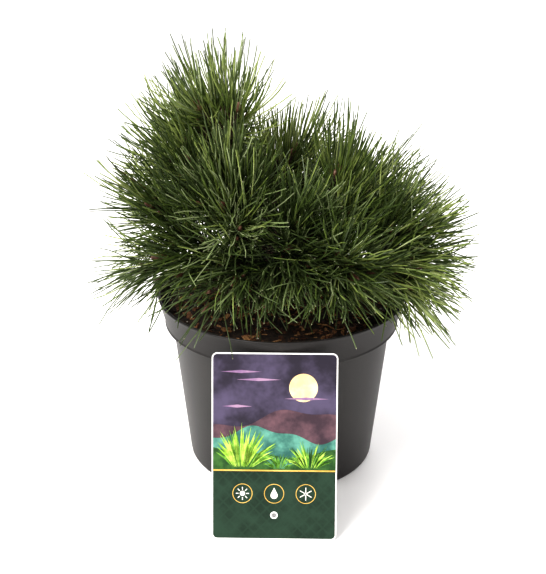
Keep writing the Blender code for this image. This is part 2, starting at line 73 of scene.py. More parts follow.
class Value:
    """A number in a material's node tree. Python's operators add Math nodes to it."""

    def __init__(self, recipe: "Recipe", socket: NodeSocket) -> None:
        """Wraps an output socket.

        Args:
            recipe: The material that the node belongs to.
            socket: The socket that gives the number.
        """
        self.recipe = recipe
        self.socket = socket

    def _math(self, operation: str, first: object, second: object = 0.0) -> "Value":
        """Adds one Math node."""
        made = self.recipe.node("ShaderNodeMath", {"operation": operation}, {0: first, 1: second})
        return Value(self.recipe, made.outputs[0])

    def __add__(self, other: object) -> "Value":
        """This number plus another."""
        return self._math("ADD", self, other)

    def __sub__(self, other: object) -> "Value":
        """This number minus another."""
        return self._math("SUBTRACT", self, other)

    def __rsub__(self, other: object) -> "Value":
        """Another number minus this one."""
        return self._math("SUBTRACT", other, self)

    def __mul__(self, other: object) -> "Value":
        """This number times another."""
        return self._math("MULTIPLY", self, other)

    __radd__ = __add__
    __rmul__ = __mul__

    def wave(self) -> "Value":
        """The sine of this number."""
        return self._math("SINE", self)

    def larger(self, other: object) -> "Value":
        """The larger of this number and another."""
        return self._math("MAXIMUM", self, other)

    def between(self, low: float, high: float) -> "Value":
        """Zero up to a low bound, one from a high bound on, and a smooth step between them.

        Args:
            low: The low bound.
            high: The high bound.

        Returns:
            The step's value.
        """
        made = self.recipe.node(
            "ShaderNodeMapRange",
            {"interpolation_type": "SMOOTHSTEP"},
            {"Value": self, "From Min": low, "From Max": high},
        )
        return Value(self.recipe, made.outputs[0])


class Recipe:
    """A material in the making, with its node tree and its Principled shader."""

    def __init__(self, name: str) -> None:
        """Starts a material.

        Args:
            name: The material's name.
        """
        self.material = bpy.data.materials.new(name)
        self.material.use_nodes = True
        self.tree = self.material.node_tree
        self.shader = self.tree.nodes["Principled BSDF"]
        self.place = self.node("ShaderNodeTexCoord").outputs["Object"]

    def feed(self, socket: NodeSocket, value: object) -> None:
        """Links a socket to a value, or sets it.

        Args:
            socket: The input socket.
            value: A Value, an output socket, a number, or a colour.
        """
        if isinstance(value, Value):
            self.tree.links.new(value.socket, socket)
        elif isinstance(value, NodeSocket):
            self.tree.links.new(value, socket)
        elif isinstance(value, tuple) and len(value) == 3 and socket.type == "RGBA":
            socket.default_value = (*value, 1.0)
        else:
            socket.default_value = value

    def node(self, kind: str, settings: dict | None = None, sockets: dict | None = None) -> bpy.types.Node:
        """Adds one node.

        Args:
            kind: The node's type.
            settings: Its own settings, such as a Math node's operation.
            sockets: The values or links of its input sockets, by name or number.

        Returns:
            The new node.
        """
        made = self.tree.nodes.new(kind)
        for name, value in (settings or {}).items():
            setattr(made, name, value)
        for name, value in (sockets or {}).items():
            self.feed(made.inputs[name], value)
        return made

    def noise(self, size: float, detail: float = 3.0, stretch: tuple = (1, 1, 1)) -> Value:
        """A cloudy pattern.

        Args:
            size: The size of its features in metres.
            detail: How many finer layers it has.
            stretch: How much longer the features are along X, Y and Z.

        Returns:
            The pattern's value, from 0 to 1.
        """
        scale = tuple(1.0 / (size * way) for way in stretch)
        spot = self.node("ShaderNodeMapping", None, {"Vector": self.place, "Scale": scale})
        made = self.node(
            "ShaderNodeTexNoise",
            None,
            {"Vector": spot.outputs[0], "Scale": 1.0, "Detail": detail, "Roughness": 0.6},
        )
        return Value(self, made.outputs[0])

    def cells(self, size: float, feature: str = "F1") -> Value:
        """Scattered cells.

        Args:
            size: How wide a cell is in metres.
            feature: The Voronoi node's feature.

        Returns:
            The distance to the nearest point, or to the nearest edge.
        """
        made = self.node(
            "ShaderNodeTexVoronoi", {"feature": feature}, {"Vector": self.place, "Scale": 1.0 / size}
        )
        return Value(self, made.outputs["Distance"])

    def mix(self, factor: object, first: object, second: object) -> NodeSocket:
        """A blend from one colour to another."""
        made = self.node("ShaderNodeMix", {"data_type": "RGBA"}, {0: factor, 6: first, 7: second})
        return made.outputs[2]

    def relief(self, height: Value, depth: float, strength: float = 1.0) -> None:
        """Bumps the surface.

        Args:
            height: The relief, from 0 to 1.
            depth: What a height of 1 stands for, in metres.
            strength: How strongly it shows.
        """
        made = self.node(
            "ShaderNodeBump", None, {"Strength": strength, "Distance": depth, "Height": height}
        )
        self.feed(self.shader.inputs["Normal"], made.outputs[0])

    def finish(self, colour: object, roughness: object, **constants: float) -> Material:
        """Sets the shader's own sockets.

        Args:
            colour: The base colour, as a colour or a socket.
            roughness: The roughness, as a number or a Value.
            constants: Further sockets, with underscores for the spaces in their names.

        Returns:
            The finished material.
        """
        self.feed(self.shader.inputs["Base Color"], colour)
        self.feed(self.shader.inputs["Roughness"], roughness)
        for name, value in constants.items():
            self.shader.inputs[name.replace("_", " ")].default_value = value
        return self.material


@dataclass(frozen=True)
class NeedleFinish:
    """Green or dry needle skin: a waxy surface in patches of two tones."""

    name: str
    colour: Colour
    shade: float = 0.72
    roughness: float = 0.41

    def build(self) -> Material:
        """Makes the material.

        Returns:
            The finished material.
        """
        recipe = Recipe(self.name)
        dark = tuple(part * self.shade for part in self.colour)
        patches = recipe.noise(9 * MM, 2.0).between(0.3, 0.7)
        specks = recipe.noise(0.5 * MM, 1.0)
        colour = recipe.mix(patches, dark, self.colour)
        rough = specks * 0.16 + (self.roughness - 0.08)
        return recipe.finish(colour, rough, Specular_IOR_Level=0.34)


@dataclass(frozen=True)
class BarkFinish:
    """Scaly bark: plates with dark cracks between them and paler, weathered faces."""

    name: str
    crack: Colour
    plate: Colour
    worn: Colour
    plate_size: float
    depth: float

    def build(self) -> Material:
        """Makes the material.

        Returns:
            The finished material.
        """
        recipe = Recipe(self.name)
        cracks = recipe.cells(self.plate_size, "DISTANCE_TO_EDGE").between(0.02, 0.22)
        grain = recipe.noise(self.plate_size * 0.6, 5.0, (1, 1, 3))
        weather = recipe.noise(self.plate_size * 3.0, 3.0).between(0.42, 0.7)
        face = recipe.mix(weather * grain, self.plate, self.worn)
        recipe.relief(cracks * 0.6 + grain * 0.4, self.depth)
        return recipe.finish(recipe.mix(cracks, self.crack, face), grain * 0.2 + 0.72)


@dataclass(frozen=True)
class BudFinish:
    """Resinous buds: red-brown scales with a whitish crust of resin."""

    name: str = "bud_scales"
    colour: Colour = (0.13, 0.062, 0.040)
    resin: Colour = (0.30, 0.205, 0.15)

    def build(self) -> Material:
        """Makes the material.

        Returns:
            The finished material.
        """
        recipe = Recipe(self.name)
        scales = recipe.noise(0.8 * MM, 2.0, (1, 1, 2))
        crust = recipe.noise(2.2 * MM, 4.0).between(0.55, 0.7)
        recipe.relief(scales, 0.2 * MM)
        return recipe.finish(recipe.mix(crust, self.colour, self.resin), 0.5 - crust * 0.15)


@dataclass(frozen=True)
class SoilFinish:
    """Moist peat or a chip in it: clods, crumbs and fibres from dark to rusty brown."""

    name: str
    dark: Colour
    light: Colour
    grain: float
    depth: float = 0.8 * MM

    def build(self) -> Material:
        """Makes the material.

        Returns:
            The finished material.
        """
        recipe = Recipe(self.name)
        clods = recipe.noise(self.grain * 4.0, 5.0)
        crumbs = recipe.noise(self.grain, 3.0)
        colour = recipe.mix((clods * crumbs).between(0.16, 0.42), self.dark, self.light)
        recipe.relief(clods * 0.5 + crumbs * 0.5, self.depth)
        return recipe.finish(colour, crumbs * 0.2 + 0.74)


@dataclass(frozen=True)
class PotFinish:
    """Matte black polypropylene with a fine moulded grain, dust and a few dried splashes."""

    name: str = "pot_shell"
    colour: Colour = (0.020, 0.0183, 0.0175)
    dust: Colour = (0.068, 0.060, 0.056)

    def build(self) -> Material:
        """Makes the material.

        Returns:
            The finished material.
        """
        recipe = Recipe(self.name)
        cloud = recipe.noise(26 * MM, 4.0, (1, 1, 2.4)).between(0.4, 0.75)
        specks = recipe.noise(1.1 * MM, 2.0).between(0.66, 0.74)
        streaks = recipe.noise(2.5 * MM, 3.0, (1, 1, 18)).between(0.5, 0.8)
        grain = recipe.noise(0.35 * MM, 2.0)
        dusty = (cloud * 0.28 + specks * 0.4 + streaks * 0.14).between(0.0, 1.0)
        recipe.relief(grain * 0.7 + streaks * 0.3, 0.05 * MM, 0.7)
        rough = grain * 0.12 + dusty * 0.2 + 0.38
        return recipe.finish(recipe.mix(dusty, self.colour, self.dust), rough, Specular_IOR_Level=0.35)


@dataclass(frozen=True)
class PrintFinish:
    """Printed ink on satin film: a soft change of tone and a fine screen of dots."""

    name: str
    colour: Colour
    second: Colour
    size: float = 14 * MM
    trellis: float = 0.0

    def build(self) -> Material:
        """Makes the material.

        Returns:
            The finished material.
        """
        recipe = Recipe(self.name)
        tone = recipe.noise(self.size, 4.0).between(0.35, 0.68)
        colour = recipe.mix(tone, self.colour, self.second)
        if self.trellis:
            colour = recipe.mix(self.lattice(recipe) * 0.45, colour, self.second)
        screen = recipe.noise(0.35 * MM, 1.0)
        return recipe.finish(colour, screen * 0.1 + 0.34, Specular_IOR_Level=0.3)

    def lattice(self, recipe: Recipe) -> Value:
        """Two sets of slanting lines that cross.

        Args:
            recipe: The material that they are part of.

        Returns:
            One on the lines and zero between them.
        """
        parts = recipe.node("ShaderNodeSeparateXYZ", None, {0: recipe.place}).outputs
        across = Value(recipe, parts["X"]) * (1.0 / self.trellis)
        up = Value(recipe, parts["Z"]) * (1.0 / self.trellis)
        rising = (across + up).wave().between(0.72, 0.9)
        falling = (across - up).wave().between(0.72, 0.9)
        return rising.larger(falling)


class Mass(NamedTuple):
    """One mass of needles. azimuth and reach place its tip round the pot's axis, heading and
    pitch say which way the tip points, root is how far up the trunk its bough leaves, vigour
    is the length of its needles against full-grown ones, and density how close they stand."""

    name: str
    azimuth: float
    reach: float
    height: float
    heading: float
    pitch: float
    root: float | None
    vigour: float = 1.0
    density: float = 1.0


MASSES = (
    Mass("leader", 174, 38 * MM, 240 * MM, 140, 80, None, 1.03, 0.38),
    Mass("upper_left", 172, 58 * MM, 218 * MM, 158, 52, 63 * MM, 1.06, 0.37),
    Mass("left", 182, 76 * MM, 186 * MM, 182, 26, 35 * MM, 1.06, 0.44),
    Mass("low_left", 203, 81 * MM, 158 * MM, 202, 8, 9 * MM, 1.06, 0.47),
    Mass("front_left", 233, 58 * MM, 196 * MM, 250, 42, 52 * MM, 0.94, 0.74),
    Mass("front_low", 244, 64 * MM, 153 * MM, 250, 4, 24 * MM, 0.9, 0.6),
    Mass("front", 273, 59 * MM, 175 * MM, 278, 18, 34 * MM, 0.9, 0.85),
    Mass("front_right", 304, 74 * MM, 157 * MM, 302, 8, 16 * MM, 0.92, 0.75),
    Mass("right_top", 357, 42 * MM, 184 * MM, 12, 54, 47 * MM, 1.17, 0.42),
    Mass("right", 1, 84 * MM, 166 * MM, 2, 26, 27 * MM, 1.0, 0.46),
    Mass("low_right", 338, 90 * MM, 153 * MM, 342, 10, 9 * MM, 1.12, 0.54),
    Mass("back", 94, 40 * MM, 194 * MM, 98, 62, 61 * MM, 1.0, 0.36),
    Mass("back_right", 47, 80 * MM, 170 * MM, 45, 25, 35 * MM, 0.92, 0.44),
    Mass("back_left", 132, 76 * MM, 188 * MM, 130, 34, 46 * MM, 1.04, 0.7),
    Mass("low_back", 88, 86 * MM, 153 * MM, 90, 10, 17 * MM, 1.08, 1.0),
)


class Shoot(NamedTuple):
    """A twig that bears needles: its points, how thick it is at both ends, how long its needles
    are against full-grown ones, and its order, which is 0 for a mass's stem."""

    points: list[Vector]
    girth: Pair
    vigour: float
    order: int


def clamped(value: float) -> float:
    """The value, kept from 0 to 1."""
    return min(1.0, max(0.0, value))


def arc(x: float, y: float, radius: float, first: float, last: float, steps: int = 5) -> list[tuple]:
    """Part of a circle.

    Args:
        x: Its centre's first coordinate.
        y: Its centre's second coordinate.
        radius: Its radius.
        first: The angle that it starts at, in degrees.
        last: The angle that it ends at.
        steps: How many steps it is made of.

    Returns:
        Its points, from one end to the other.
    """
    turns = [math.radians(first + (last - first) * i / steps) for i in range(steps + 1)]
    return [(x + radius * math.cos(turn), y + radius * math.sin(turn)) for turn in turns]


def cloudy(spot: Vector) -> float:
    """Fractal noise of three octaves at a place, about from -1 to 1."""
    return noise.fractal(spot, 1.0, 2.0, 3)


def direction(heading: float, pitch: float) -> Vector:
    """The unit vector of a heading and a pitch in degrees."""
    turn, rise = math.radians(heading), math.radians(pitch)
    return Vector((math.cos(turn) * math.cos(rise), math.sin(turn) * math.cos(rise), math.sin(rise)))


def sideways(axis: Vector, turn: float) -> Vector:
    """A direction square to an axis.

    Args:
        axis: The axis, as a unit vector.
        turn: How far the direction is turned round the axis, in radians.

    Returns:
        The direction, as a unit vector.
    """
    reference = Vector((0, 0, 1)) if abs(axis.z) < 0.95 else Vector((1, 0, 0))
    first = axis.cross(reference).normalized()
    return first * math.cos(turn) + axis.cross(first) * math.sin(turn)


def bend(start: Vector, middle: Vector, end: Vector, share: float) -> Vector:
    """The point at a share of a curve that leaves start towards middle."""
    return start * (1 - share) ** 2 + middle * (2 * share * (1 - share)) + end * share**2


def bow(start: Vector, middle: Vector, end: Vector, count: int) -> list[Vector]:
    """Evenly spaced points on a curve that leaves start towards middle."""
    return [bend(start, middle, end, i / (count - 1)) for i in range(count)]


def nearest(point: Vector, line: Sequence[Vector]) -> float:
    """How near a point is to a line.

    Args:
        point: The point.
        line: The ends of the line's straight stretches.

    Returns:
        The shortest distance.
    """
    found = []
    for start, end in zip(line, line[1:]):
        along = end - start
        share = (point - start).dot(along) / along.length_squared
        found.append((point - start - along * clamped(share)).length)
    return min(found)


@dataclass
class Skeleton:
    """The trunk, the boughs and every shoot, worked out by the solids' rule.

    Side shoots leave the stem from shoot_first on, over a further shoot_range of the limb's curve.
    shoot_bends are the shares of a side shoot's length to its elbow and to two points beyond it.
    Fine twigs break from twig_first on, each twig_step further along a shoot. twig_aim says how far
    a twig's tip follows the way that it leaves, the shoot's axis and the way up.
    """

    pot_height: float = 122 * MM
    rim_radius: float = 85 * MM
    collar_foot_radius: float = 80 * MM
    soil_crown: float = 117 * MM
    trunk_foot: tuple = (2 * MM, 0.0, 117.3 * MM)
    trunk_tip: tuple = (-24 * MM, 3 * MM, 196 * MM)
    trunk_bow: float = 4 * MM
    trunk_radius: float = 7.5 * MM
    flare: float = 4.5 * MM
    flare_height: float = 6 * MM
    trunk_tip_radius: float = 3.4 * MM
    bough_root_radius: float = 3.6 * MM
    stem_radius: float = 2.5 * MM
    bough_share: float = 0.5
    end_share: float = 0.03
    bend_share: float = 0.55
    side_shoots: int = 4
    trials: int = 4
    shoot_first: float = 0.62
    shoot_range: float = 0.24
    shoot_length: float = 28 * MM
    shoot_lengths: Pair = (0.85, 1.15)
    shoot_spread: float = math.radians(54)
    shoot_spreads: Pair = (0.88, 1.12)
    shoot_follow: float = 0.5
    shoot_lift: float = 0.25
    shoot_bends: tuple = (0.5, 0.3, 0.5)
    shoot_girth: Pair = (1.6 * MM, 1.3 * MM)
    shoot_vigour: float = 0.97
    spacing: float = 13 * MM
    limb_points: int = 12
    limb_start: float = 0.1
    stem_tip_radius: float = 1.5 * MM
    twigs: int = 2
    twig_first: float = 0.42
    twig_step: float = 0.16
    twig_scatter: float = 0.08
    twig_length: float = 13 * MM
    twig_lengths: Pair = (0.8, 1.2)
    twig_spread: float = math.radians(46)
    twig_spreads: Pair = (0.85, 1.15)
    twig_elbow: float = 0.6
    twig_aim: tuple = (0.7, 0.4, 0.1)
    twig_girth: Pair = (1.2 * MM, 1.1 * MM)
    twig_vigour: float = 0.9

    @property
    def trunk_height(self) -> float:
        """How tall the trunk is from the soil to its tip."""
        return self.trunk_tip[2] - self.trunk_foot[2]

    def trunk_point(self, height: float) -> Vector:
        """A point on the trunk's axis.

        Args:
            height: How far it lies above the trunk's foot.

        Returns:
            The point.
        """
        share = height / self.trunk_height
        bow = Vector((self.trunk_bow * math.sin(math.pi * share), 0, 0))
        return Vector(self.trunk_foot).lerp(Vector(self.trunk_tip), share) + bow

    def trunk_girth(self, height: float) -> float:
        """How thick the trunk is.

        Args:
            height: The height above the trunk's foot.

        Returns:
            Its radius there.
        """
        share = height / self.trunk_height
        taper = self.trunk_radius + (self.trunk_tip_radius - self.trunk_radius) * share
        return taper + self.flare * math.exp(-height / self.flare_height)

    def limb_curve(self, mass: Mass) -> tuple[Vector, Vector, Vector]:
        """The curve that a bough and its mass's stem share.

        Args:
            mass: The mass.

        Returns:
            The curve's start, the point that it leaves towards, and its end.
        """
        turn = math.radians(mass.azimuth)
        tip = Vector((mass.reach * math.cos(turn), mass.reach * math.sin(turn), mass.height))
        root = Vector(self.trunk_tip) if mass.root is None else self.trunk_point(mass.root)
        middle = tip - direction(mass.heading, mass.pitch) * (tip - root).length * self.bend_share
        return root, middle, tip

    def stretch(self, mass: Mass, first: float, last: float, count: int) -> list[Vector]:
        """Evenly spaced points on a limb's curve.

        Args:
            mass: The mass that the limb bears.
            first: The first point's share of the curve.
            last: The last point's share.
            count: How many points there are.

        Returns:
            The points.
        """
        curve = self.limb_curve(mass)
        return [bend(*curve, first + (last - first) * i / (count - 1)) for i in range(count)]

    def stem_start(self, mass: Mass) -> float:
        """The share of the limb's curve where the bough ends and the mass's stem begins."""
        return 0.0 if mass.root is None else self.bough_share

    def main_stem(self, mass: Mass) -> list[Vector]:
        """The line of a mass's stem, as coarse as in the solids.

        Args:
            mass: The mass.

        Returns:
            The stem's points.
        """
        start = self.stem_start(mass)
        line = self.stretch(mass, start, 1.0, 5)
        line.insert(1, bend(*self.limb_curve(mass), start + self.end_share))
        line[0] = line[0] + (line[1] - line[0]).normalized() * CLEARANCE
        return line

    def side_shoot(self, mass: Mass, index: int, turn: float, draw: random.Random) -> list[Vector]:
        """One side shoot, which leaves the stem at an angle and turns up with it.

        Args:
            mass: The mass that it belongs to.
            index: Its number on the stem, from 0.
            turn: The side of the stem that it leaves from, as an angle round it in radians.
            draw: The source of chance.

        Returns:
            The shoot's four points.
        """
        share = self.shoot_first + self.shoot_range * index / (self.side_shoots - 1)
        root, ahead = self.stretch(mass, share, share + 0.02, 2)
        axis = (ahead - root).normalized()
        spread = self.shoot_spread * draw.uniform(*self.shoot_spreads)
        leaving = axis * math.cos(spread) + sideways(axis, turn) * math.sin(spread)
        ending = (leaving + axis * self.shoot_follow + Vector((0, 0, self.shoot_lift))).normalized()
        length = self.shoot_length * draw.uniform(*self.shoot_lengths)
        to_elbow, beyond, to_tip = self.shoot_bends
        elbow = root + leaving * length * to_elbow
        return [root, elbow, elbow + ending * length * beyond, elbow + ending * length * to_tip]

    def droops(self, line: list[Vector]) -> bool:
        """Looks for a side shoot that runs into the soil or hangs down outside the pot's rim.

        Args:
            line: The shoot's points.

        Returns:
            Whether it does so.
        """
        for point in line:
            over_rim = math.hypot(point.x, point.y) > self.rim_radius
            if point.z < (self.pot_height if over_rim else self.soil_crown) + self.spacing:
                return True
        return False

    def grow(self) -> dict[str, list[list[Vector]]]:
        """Grows the stem and the side shoots of every mass, as in the solids.

        Returns:
            The lines of each mass by its name, the stem first.
        """
        limbs = {mass.name: self.stretch(mass, self.limb_start, 1.0, self.limb_points) for mass in MASSES}
        grown = {mass.name: [self.main_stem(mass)] for mass in MASSES}
        for number, mass in enumerate(MASSES):
            draw = random.Random(number)
            turn = draw.uniform(0, 2 * math.pi)
            others = [limb for name, limb in limbs.items() if name != mass.name]
            others += [shoot for name in grown if name != mass.name for shoot in grown[name][1:]]
            for index in range(self.side_shoots):
                for _ in range(self.trials):
                    turn += GOLDEN_ANGLE
                    line = self.side_shoot(mass, index, turn, draw)
                    own = grown[mass.name][1:]
                    room = min(nearest(point, other) for point in line[1:] for other in others)
                    spread = min((nearest(line[-1], other) for other in own), default=self.spacing)
                    if min(room, spread) >= self.spacing and not self.droops(line):
                        grown[mass.name].append(line)
                        break
        return grown

    def shoots_of(self, mass: Mass, lines: list[list[Vector]], draw: random.Random) -> list[Shoot]:
        """All shoots of a mass, carried on to the twigs that the solids leave out.

        Args:
            mass: The mass.
            lines: Its stem and side shoots.
            draw: The source of chance.

        Returns:
            The stem, the side shoots and their twigs as smooth shoots.
        """
        stem = self.stretch(mass, self.stem_start(mass), 1.0, self.limb_points)
        shoots = [Shoot(stem, (self.stem_radius, self.stem_tip_radius), mass.vigour, 0)]
        for root, elbow, _, tip in lines[1:]:
            points = bow(root, elbow, tip, 8)
            shoots.append(Shoot(points, self.shoot_girth, self.shoot_vigour * mass.vigour, 1))
        for parent in list(shoots):
            turn = draw.uniform(0, 2 * math.pi)
            for number in range(self.twigs + (parent.order == 0)):
                turn += GOLDEN_ANGLE
                share = self.twig_first + self.twig_step * number + draw.uniform(0, self.twig_scatter)
                shoots.append(self.twig(parent, share, turn, draw))
        return shoots

    def twig(self, parent: Shoot, share: float, turn: float, draw: random.Random) -> Shoot:
        """A short twig that breaks from a shoot.

        Args:
            parent: The shoot.
            share: How far along the shoot the twig stands.
            turn: The side that it leaves from, as an angle round the shoot in radians.
            draw: The source of chance.

        Returns:
            The twig.
        """
        index = int(share * (len(parent.points) - 1))
        root = parent.points[index]
        axis = (parent.points[index + 1] - root).normalized()
        spread = self.twig_spread * draw.uniform(*self.twig_spreads)
        leaving = axis * math.cos(spread) + sideways(axis, turn) * math.sin(spread)
        length = self.twig_length * draw.uniform(*self.twig_lengths)
        onward, along, up = self.twig_aim
        tip = root + (leaving * onward + axis * along + Vector((0, 0, up))).normalized() * length
        points = bow(root, root + leaving * length * self.twig_elbow, tip, 6)
        return Shoot(points, self.twig_girth, self.twig_vigour * parent.vigour, 2)


class Builder:
    """Gathers copies of shapes and joins them into one piece."""

    def __init__(self) -> None:
        """Starts with nothing."""
        self.points: list[np.ndarray] = []
        self.faces: list[list[int]] = []
        self.slots: list[int] = []
        self.count = 0

    def add(self, points: np.ndarray, faces: Sequence[tuple], slots: np.ndarray) -> None:
        """Adds copies of one shape.

        Args:
            points: The corners of each copy, as copies by corners by 3.
            faces: The shape's faces, as the numbers of their corners.
            slots: The material number of each face of each copy.
        """
        copies, corners = points.shape[:2]
        offsets = self.count + np.arange(copies)[:, None] * corners
        for face, column in zip(faces, slots.T):
            self.faces.extend((offsets + np.array(face)).tolist())
            self.slots.extend(column.tolist())
        self.points.append(points.reshape(-1, 3))
        self.count += copies * corners

    def piece(self, name: str, materials: list[Material], smooth: bool = True) -> Object:
        """Makes the piece.

        Args:
            name: Its name.
            materials: Its materials, in the order of their numbers.
            smooth: Whether its faces are shaded smooth.

        Returns:
            The new object.
        """
        mesh = bpy.data.meshes.new(name)
        mesh.from_pydata(np.concatenate(self.points).tolist(), [], self.faces)
        mesh.polygons.foreach_set("material_index", self.slots)
        mesh.polygons.foreach_set("use_smooth", [smooth] * len(self.faces))
        return place(name, mesh, materials)


def place(name: str, mesh: Mesh, materials: list[Material]) -> Object:
    """Links a mesh to the scene as an object.

    Args:
        name: The object's name.
        mesh: Its mesh.
        materials: Its materials, in the order of their numbers.

    Returns:
        The new object.
    """
    for material in materials:
        mesh.materials.append(material)
    piece = bpy.data.objects.new(name, mesh)
    bpy.context.scene.collection.objects.link(piece)
    return piece


def moulded(name: str, shape: BMesh, materials: list[Material], smooth: bool = True) -> Object:
    """Makes a piece of a bmesh and frees the bmesh.

    Args:
        name: The piece's name.
        shape: The bmesh.
        materials: The piece's materials, in the order of their numbers.
        smooth: Whether its faces are shaded smooth.

    Returns:
        The new object.
    """
    for face in shape.faces:
        face.smooth = smooth
    mesh = bpy.data.meshes.new(name)
    shape.to_mesh(mesh)
    shape.free()
    return place(name, mesh, materials)


def curve_mesh(curve: bpy.types.Curve) -> Mesh:
    """Turns a curve into a mesh without materials.

    Args:
        curve: The curve, with its splines set.

    Returns:
        The new mesh.
    """
    guide = bpy.data.objects.new(curve.name + "_guide", curve)
    bpy.context.scene.collection.objects.link(guide)
    bpy.context.view_layer.update()
    graph = bpy.context.evaluated_depsgraph_get()
    mesh = bpy.data.meshes.new_from_object(guide.evaluated_get(graph))
    bpy.data.objects.remove(guide, do_unlink=True)
    mesh.materials.clear()
    return mesh


def settle(piece: Object, slot: Slot, *nodes: str) -> None:
    """Makes a finished piece ride with the plant and stand for its solids.

    Args:
        piece: The piece.
        slot: The record's material slot that it belongs to. It is not used.
        nodes: The solids that it stands for, if any.
    """
    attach(piece, "root")
    if nodes:
        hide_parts(*nodes)
    LOG.info("%s has %d faces", piece.name, len(piece.data.polygons))


def shape_arrays(shape: BMesh) -> tuple[np.ndarray, list[tuple]]:
    """Reads a bmesh and frees it.

    Args:
        shape: The bmesh.

    Returns:
        Its corners, and its faces as the numbers of their corners.
    """
    shape.verts.index_update()
    points = np.array([vert.co[:] for vert in shape.verts])
    faces = [tuple(vert.index for vert in face.verts) for face in shape.faces]
    shape.free()
    return points, faces


def turned(profile: Sequence[tuple[float, float]], steps: int) -> BMesh:
    """Spins a profile round the Z axis.

    Args:
        profile: Points of radius and height, from axis to axis.
        steps: How many steps the full turn has.

    Returns:
        The closed shape.
    """
    shape = bmesh.new()
    verts = [shape.verts.new((radius, 0, height)) for radius, height in profile]
    edges = [shape.edges.new(pair) for pair in zip(verts, verts[1:])]
    bmesh.ops.spin(
        shape, geom=verts + edges, cent=(0, 0, 0), axis=(0, 0, 1), angle=2 * math.pi, steps=steps,
        use_merge=True,
    )
    bmesh.ops.remove_doubles(shape, verts=shape.verts, dist=0.001 * MM)
    bmesh.ops.recalc_face_normals(shape, faces=shape.faces)
    return shape


@dataclass
class Bark:
    """The trunk and the boughs with the relief of their bark.

    plate is the size of the bark's plates, and squash how much shorter the pattern is read along
    the limb. cracks is how sharply the cracks are cut, and level the height that counts as none.
    Each of the two sets of scale rows in scale_rows has its number round the limb and its pitch.
    """

    skeleton: Skeleton
    finish: BarkFinish
    sides: int = 20
    relief: float = 0.45 * MM
    scales: float = 0.35 * MM
    plate: float = 3.2 * MM
    squash: float = 0.45
    cracks: float = 2.2
    level: float = 0.6
    scale_rows: tuple = ((5, 1.3 * MM), (8, 1.1 * MM))
    trunk_rings: int = 70
    trunk_sunk: float = 2 * MM
    bough_rings: int = 30
    bough_start: float = 0.04
    bough_overlap: float = 0.02
    bough_relief: float = 0.6

    def loft(self, line: list[Vector], radii: list[float], rough: float) -> BMesh:
        """A limb along a line, extruded ring by ring with rough sides.

        Args:
            line: The limb's axis.
            radii: Its radius at each point.
            rough: How strong the relief is, against the trunk's.

        Returns:
            The closed limb.
        """
        shape = bmesh.new()
        angle = shape.verts.layers.float.new("angle")
        bmesh.ops.create_circle(shape, cap_ends=True, segments=self.sides, radius=1.0)
        for vert in shape.verts:
            vert[angle] = math.atan2(vert.co.y, vert.co.x)
        end = next(iter(shape.faces))
        travelled = 0.0
        axis = (line[1] - line[0]).normalized()
        across = sideways(axis, 0.0)
        for number, (centre, radius) in enumerate(zip(line, radii)):
            if number:
                travelled += (centre - line[number - 1]).length
                axis = (centre - line[number - 1]).normalized()
                across = (across - axis * across.dot(axis)).normalized()
                made = bmesh.ops.extrude_face_region(shape, geom=[end])["geom"]
                bmesh.ops.delete(shape, geom=[end], context="FACES_ONLY")
                end = next(item for item in made if isinstance(item, bmesh.types.BMFace))
            other = axis.cross(across)
            for vert in end.verts:
                turn = vert[angle]
                ray = across * math.cos(turn) + other * math.sin(turn)
                height = self.height(turn, travelled, radius) * rough
                vert.co = centre + ray * (radius + height)
        bmesh.ops.recalc_face_normals(shape, faces=shape.faces)
        return shape

    def height(self, turn: float, along: float, radius: float) -> float:
        """How far the bark stands out.

        Args:
            turn: The place's angle round the limb, in radians.
            along: How far along the limb it lies.
            radius: The limb's radius there.

        Returns:
            The height above the limb's plain side.
        """
        side = (math.cos(turn) * radius, math.sin(turn) * radius)
        ridges = 1.0 - abs(cloudy(Vector((*side, along * self.squash)) / self.plate)) * self.cracks
        (few, wide), (many, narrow) = self.scale_rows
        rows = math.cos(few * turn + along / wide) * math.cos(many * turn - along / narrow)
        return self.relief * (ridges - self.level) + self.scales * max(0.0, rows)

    def limb(self, name: str, line: list[Vector], radii: list[float], rough: float, node: str) -> None:
        """Builds one limb as a piece of its own.

        Args:
            name: The piece's name.
            line: The limb's axis.
            radii: Its radius at each point.
            rough: How strong the relief is, against the trunk's.
            node: The solid that it stands for.
        """
        settle(moulded(name, self.loft(line, radii, rough), [self.finish.build()]), Slot.BARK, node)

    def build(self) -> None:
        """Builds the trunk and every bough."""
        skeleton = self.skeleton
        heights = [skeleton.trunk_height * (i / self.trunk_rings) for i in range(self.trunk_rings + 1)]
        line = [skeleton.trunk_point(height) for height in heights]
        radii = [skeleton.trunk_girth(height) for height in heights]
        line[0] = line[0] - Vector((0, 0, self.trunk_sunk))
        self.limb("trunk_bark", line, radii, 1.0, "trunk")
        for mass in MASSES:
            if mass.root is None:
                continue
            end = skeleton.bough_share + self.bough_overlap
            line = skeleton.stretch(mass, self.bough_start, end, self.bough_rings)
            first, last = skeleton.bough_root_radius, skeleton.stem_radius
            radii = [first + (last - first) * i / (self.bough_rings - 1) for i in range(self.bough_rings)]
            self.limb("bark_" + mass.name, line, radii, self.bough_relief, "bough_" + mass.name)


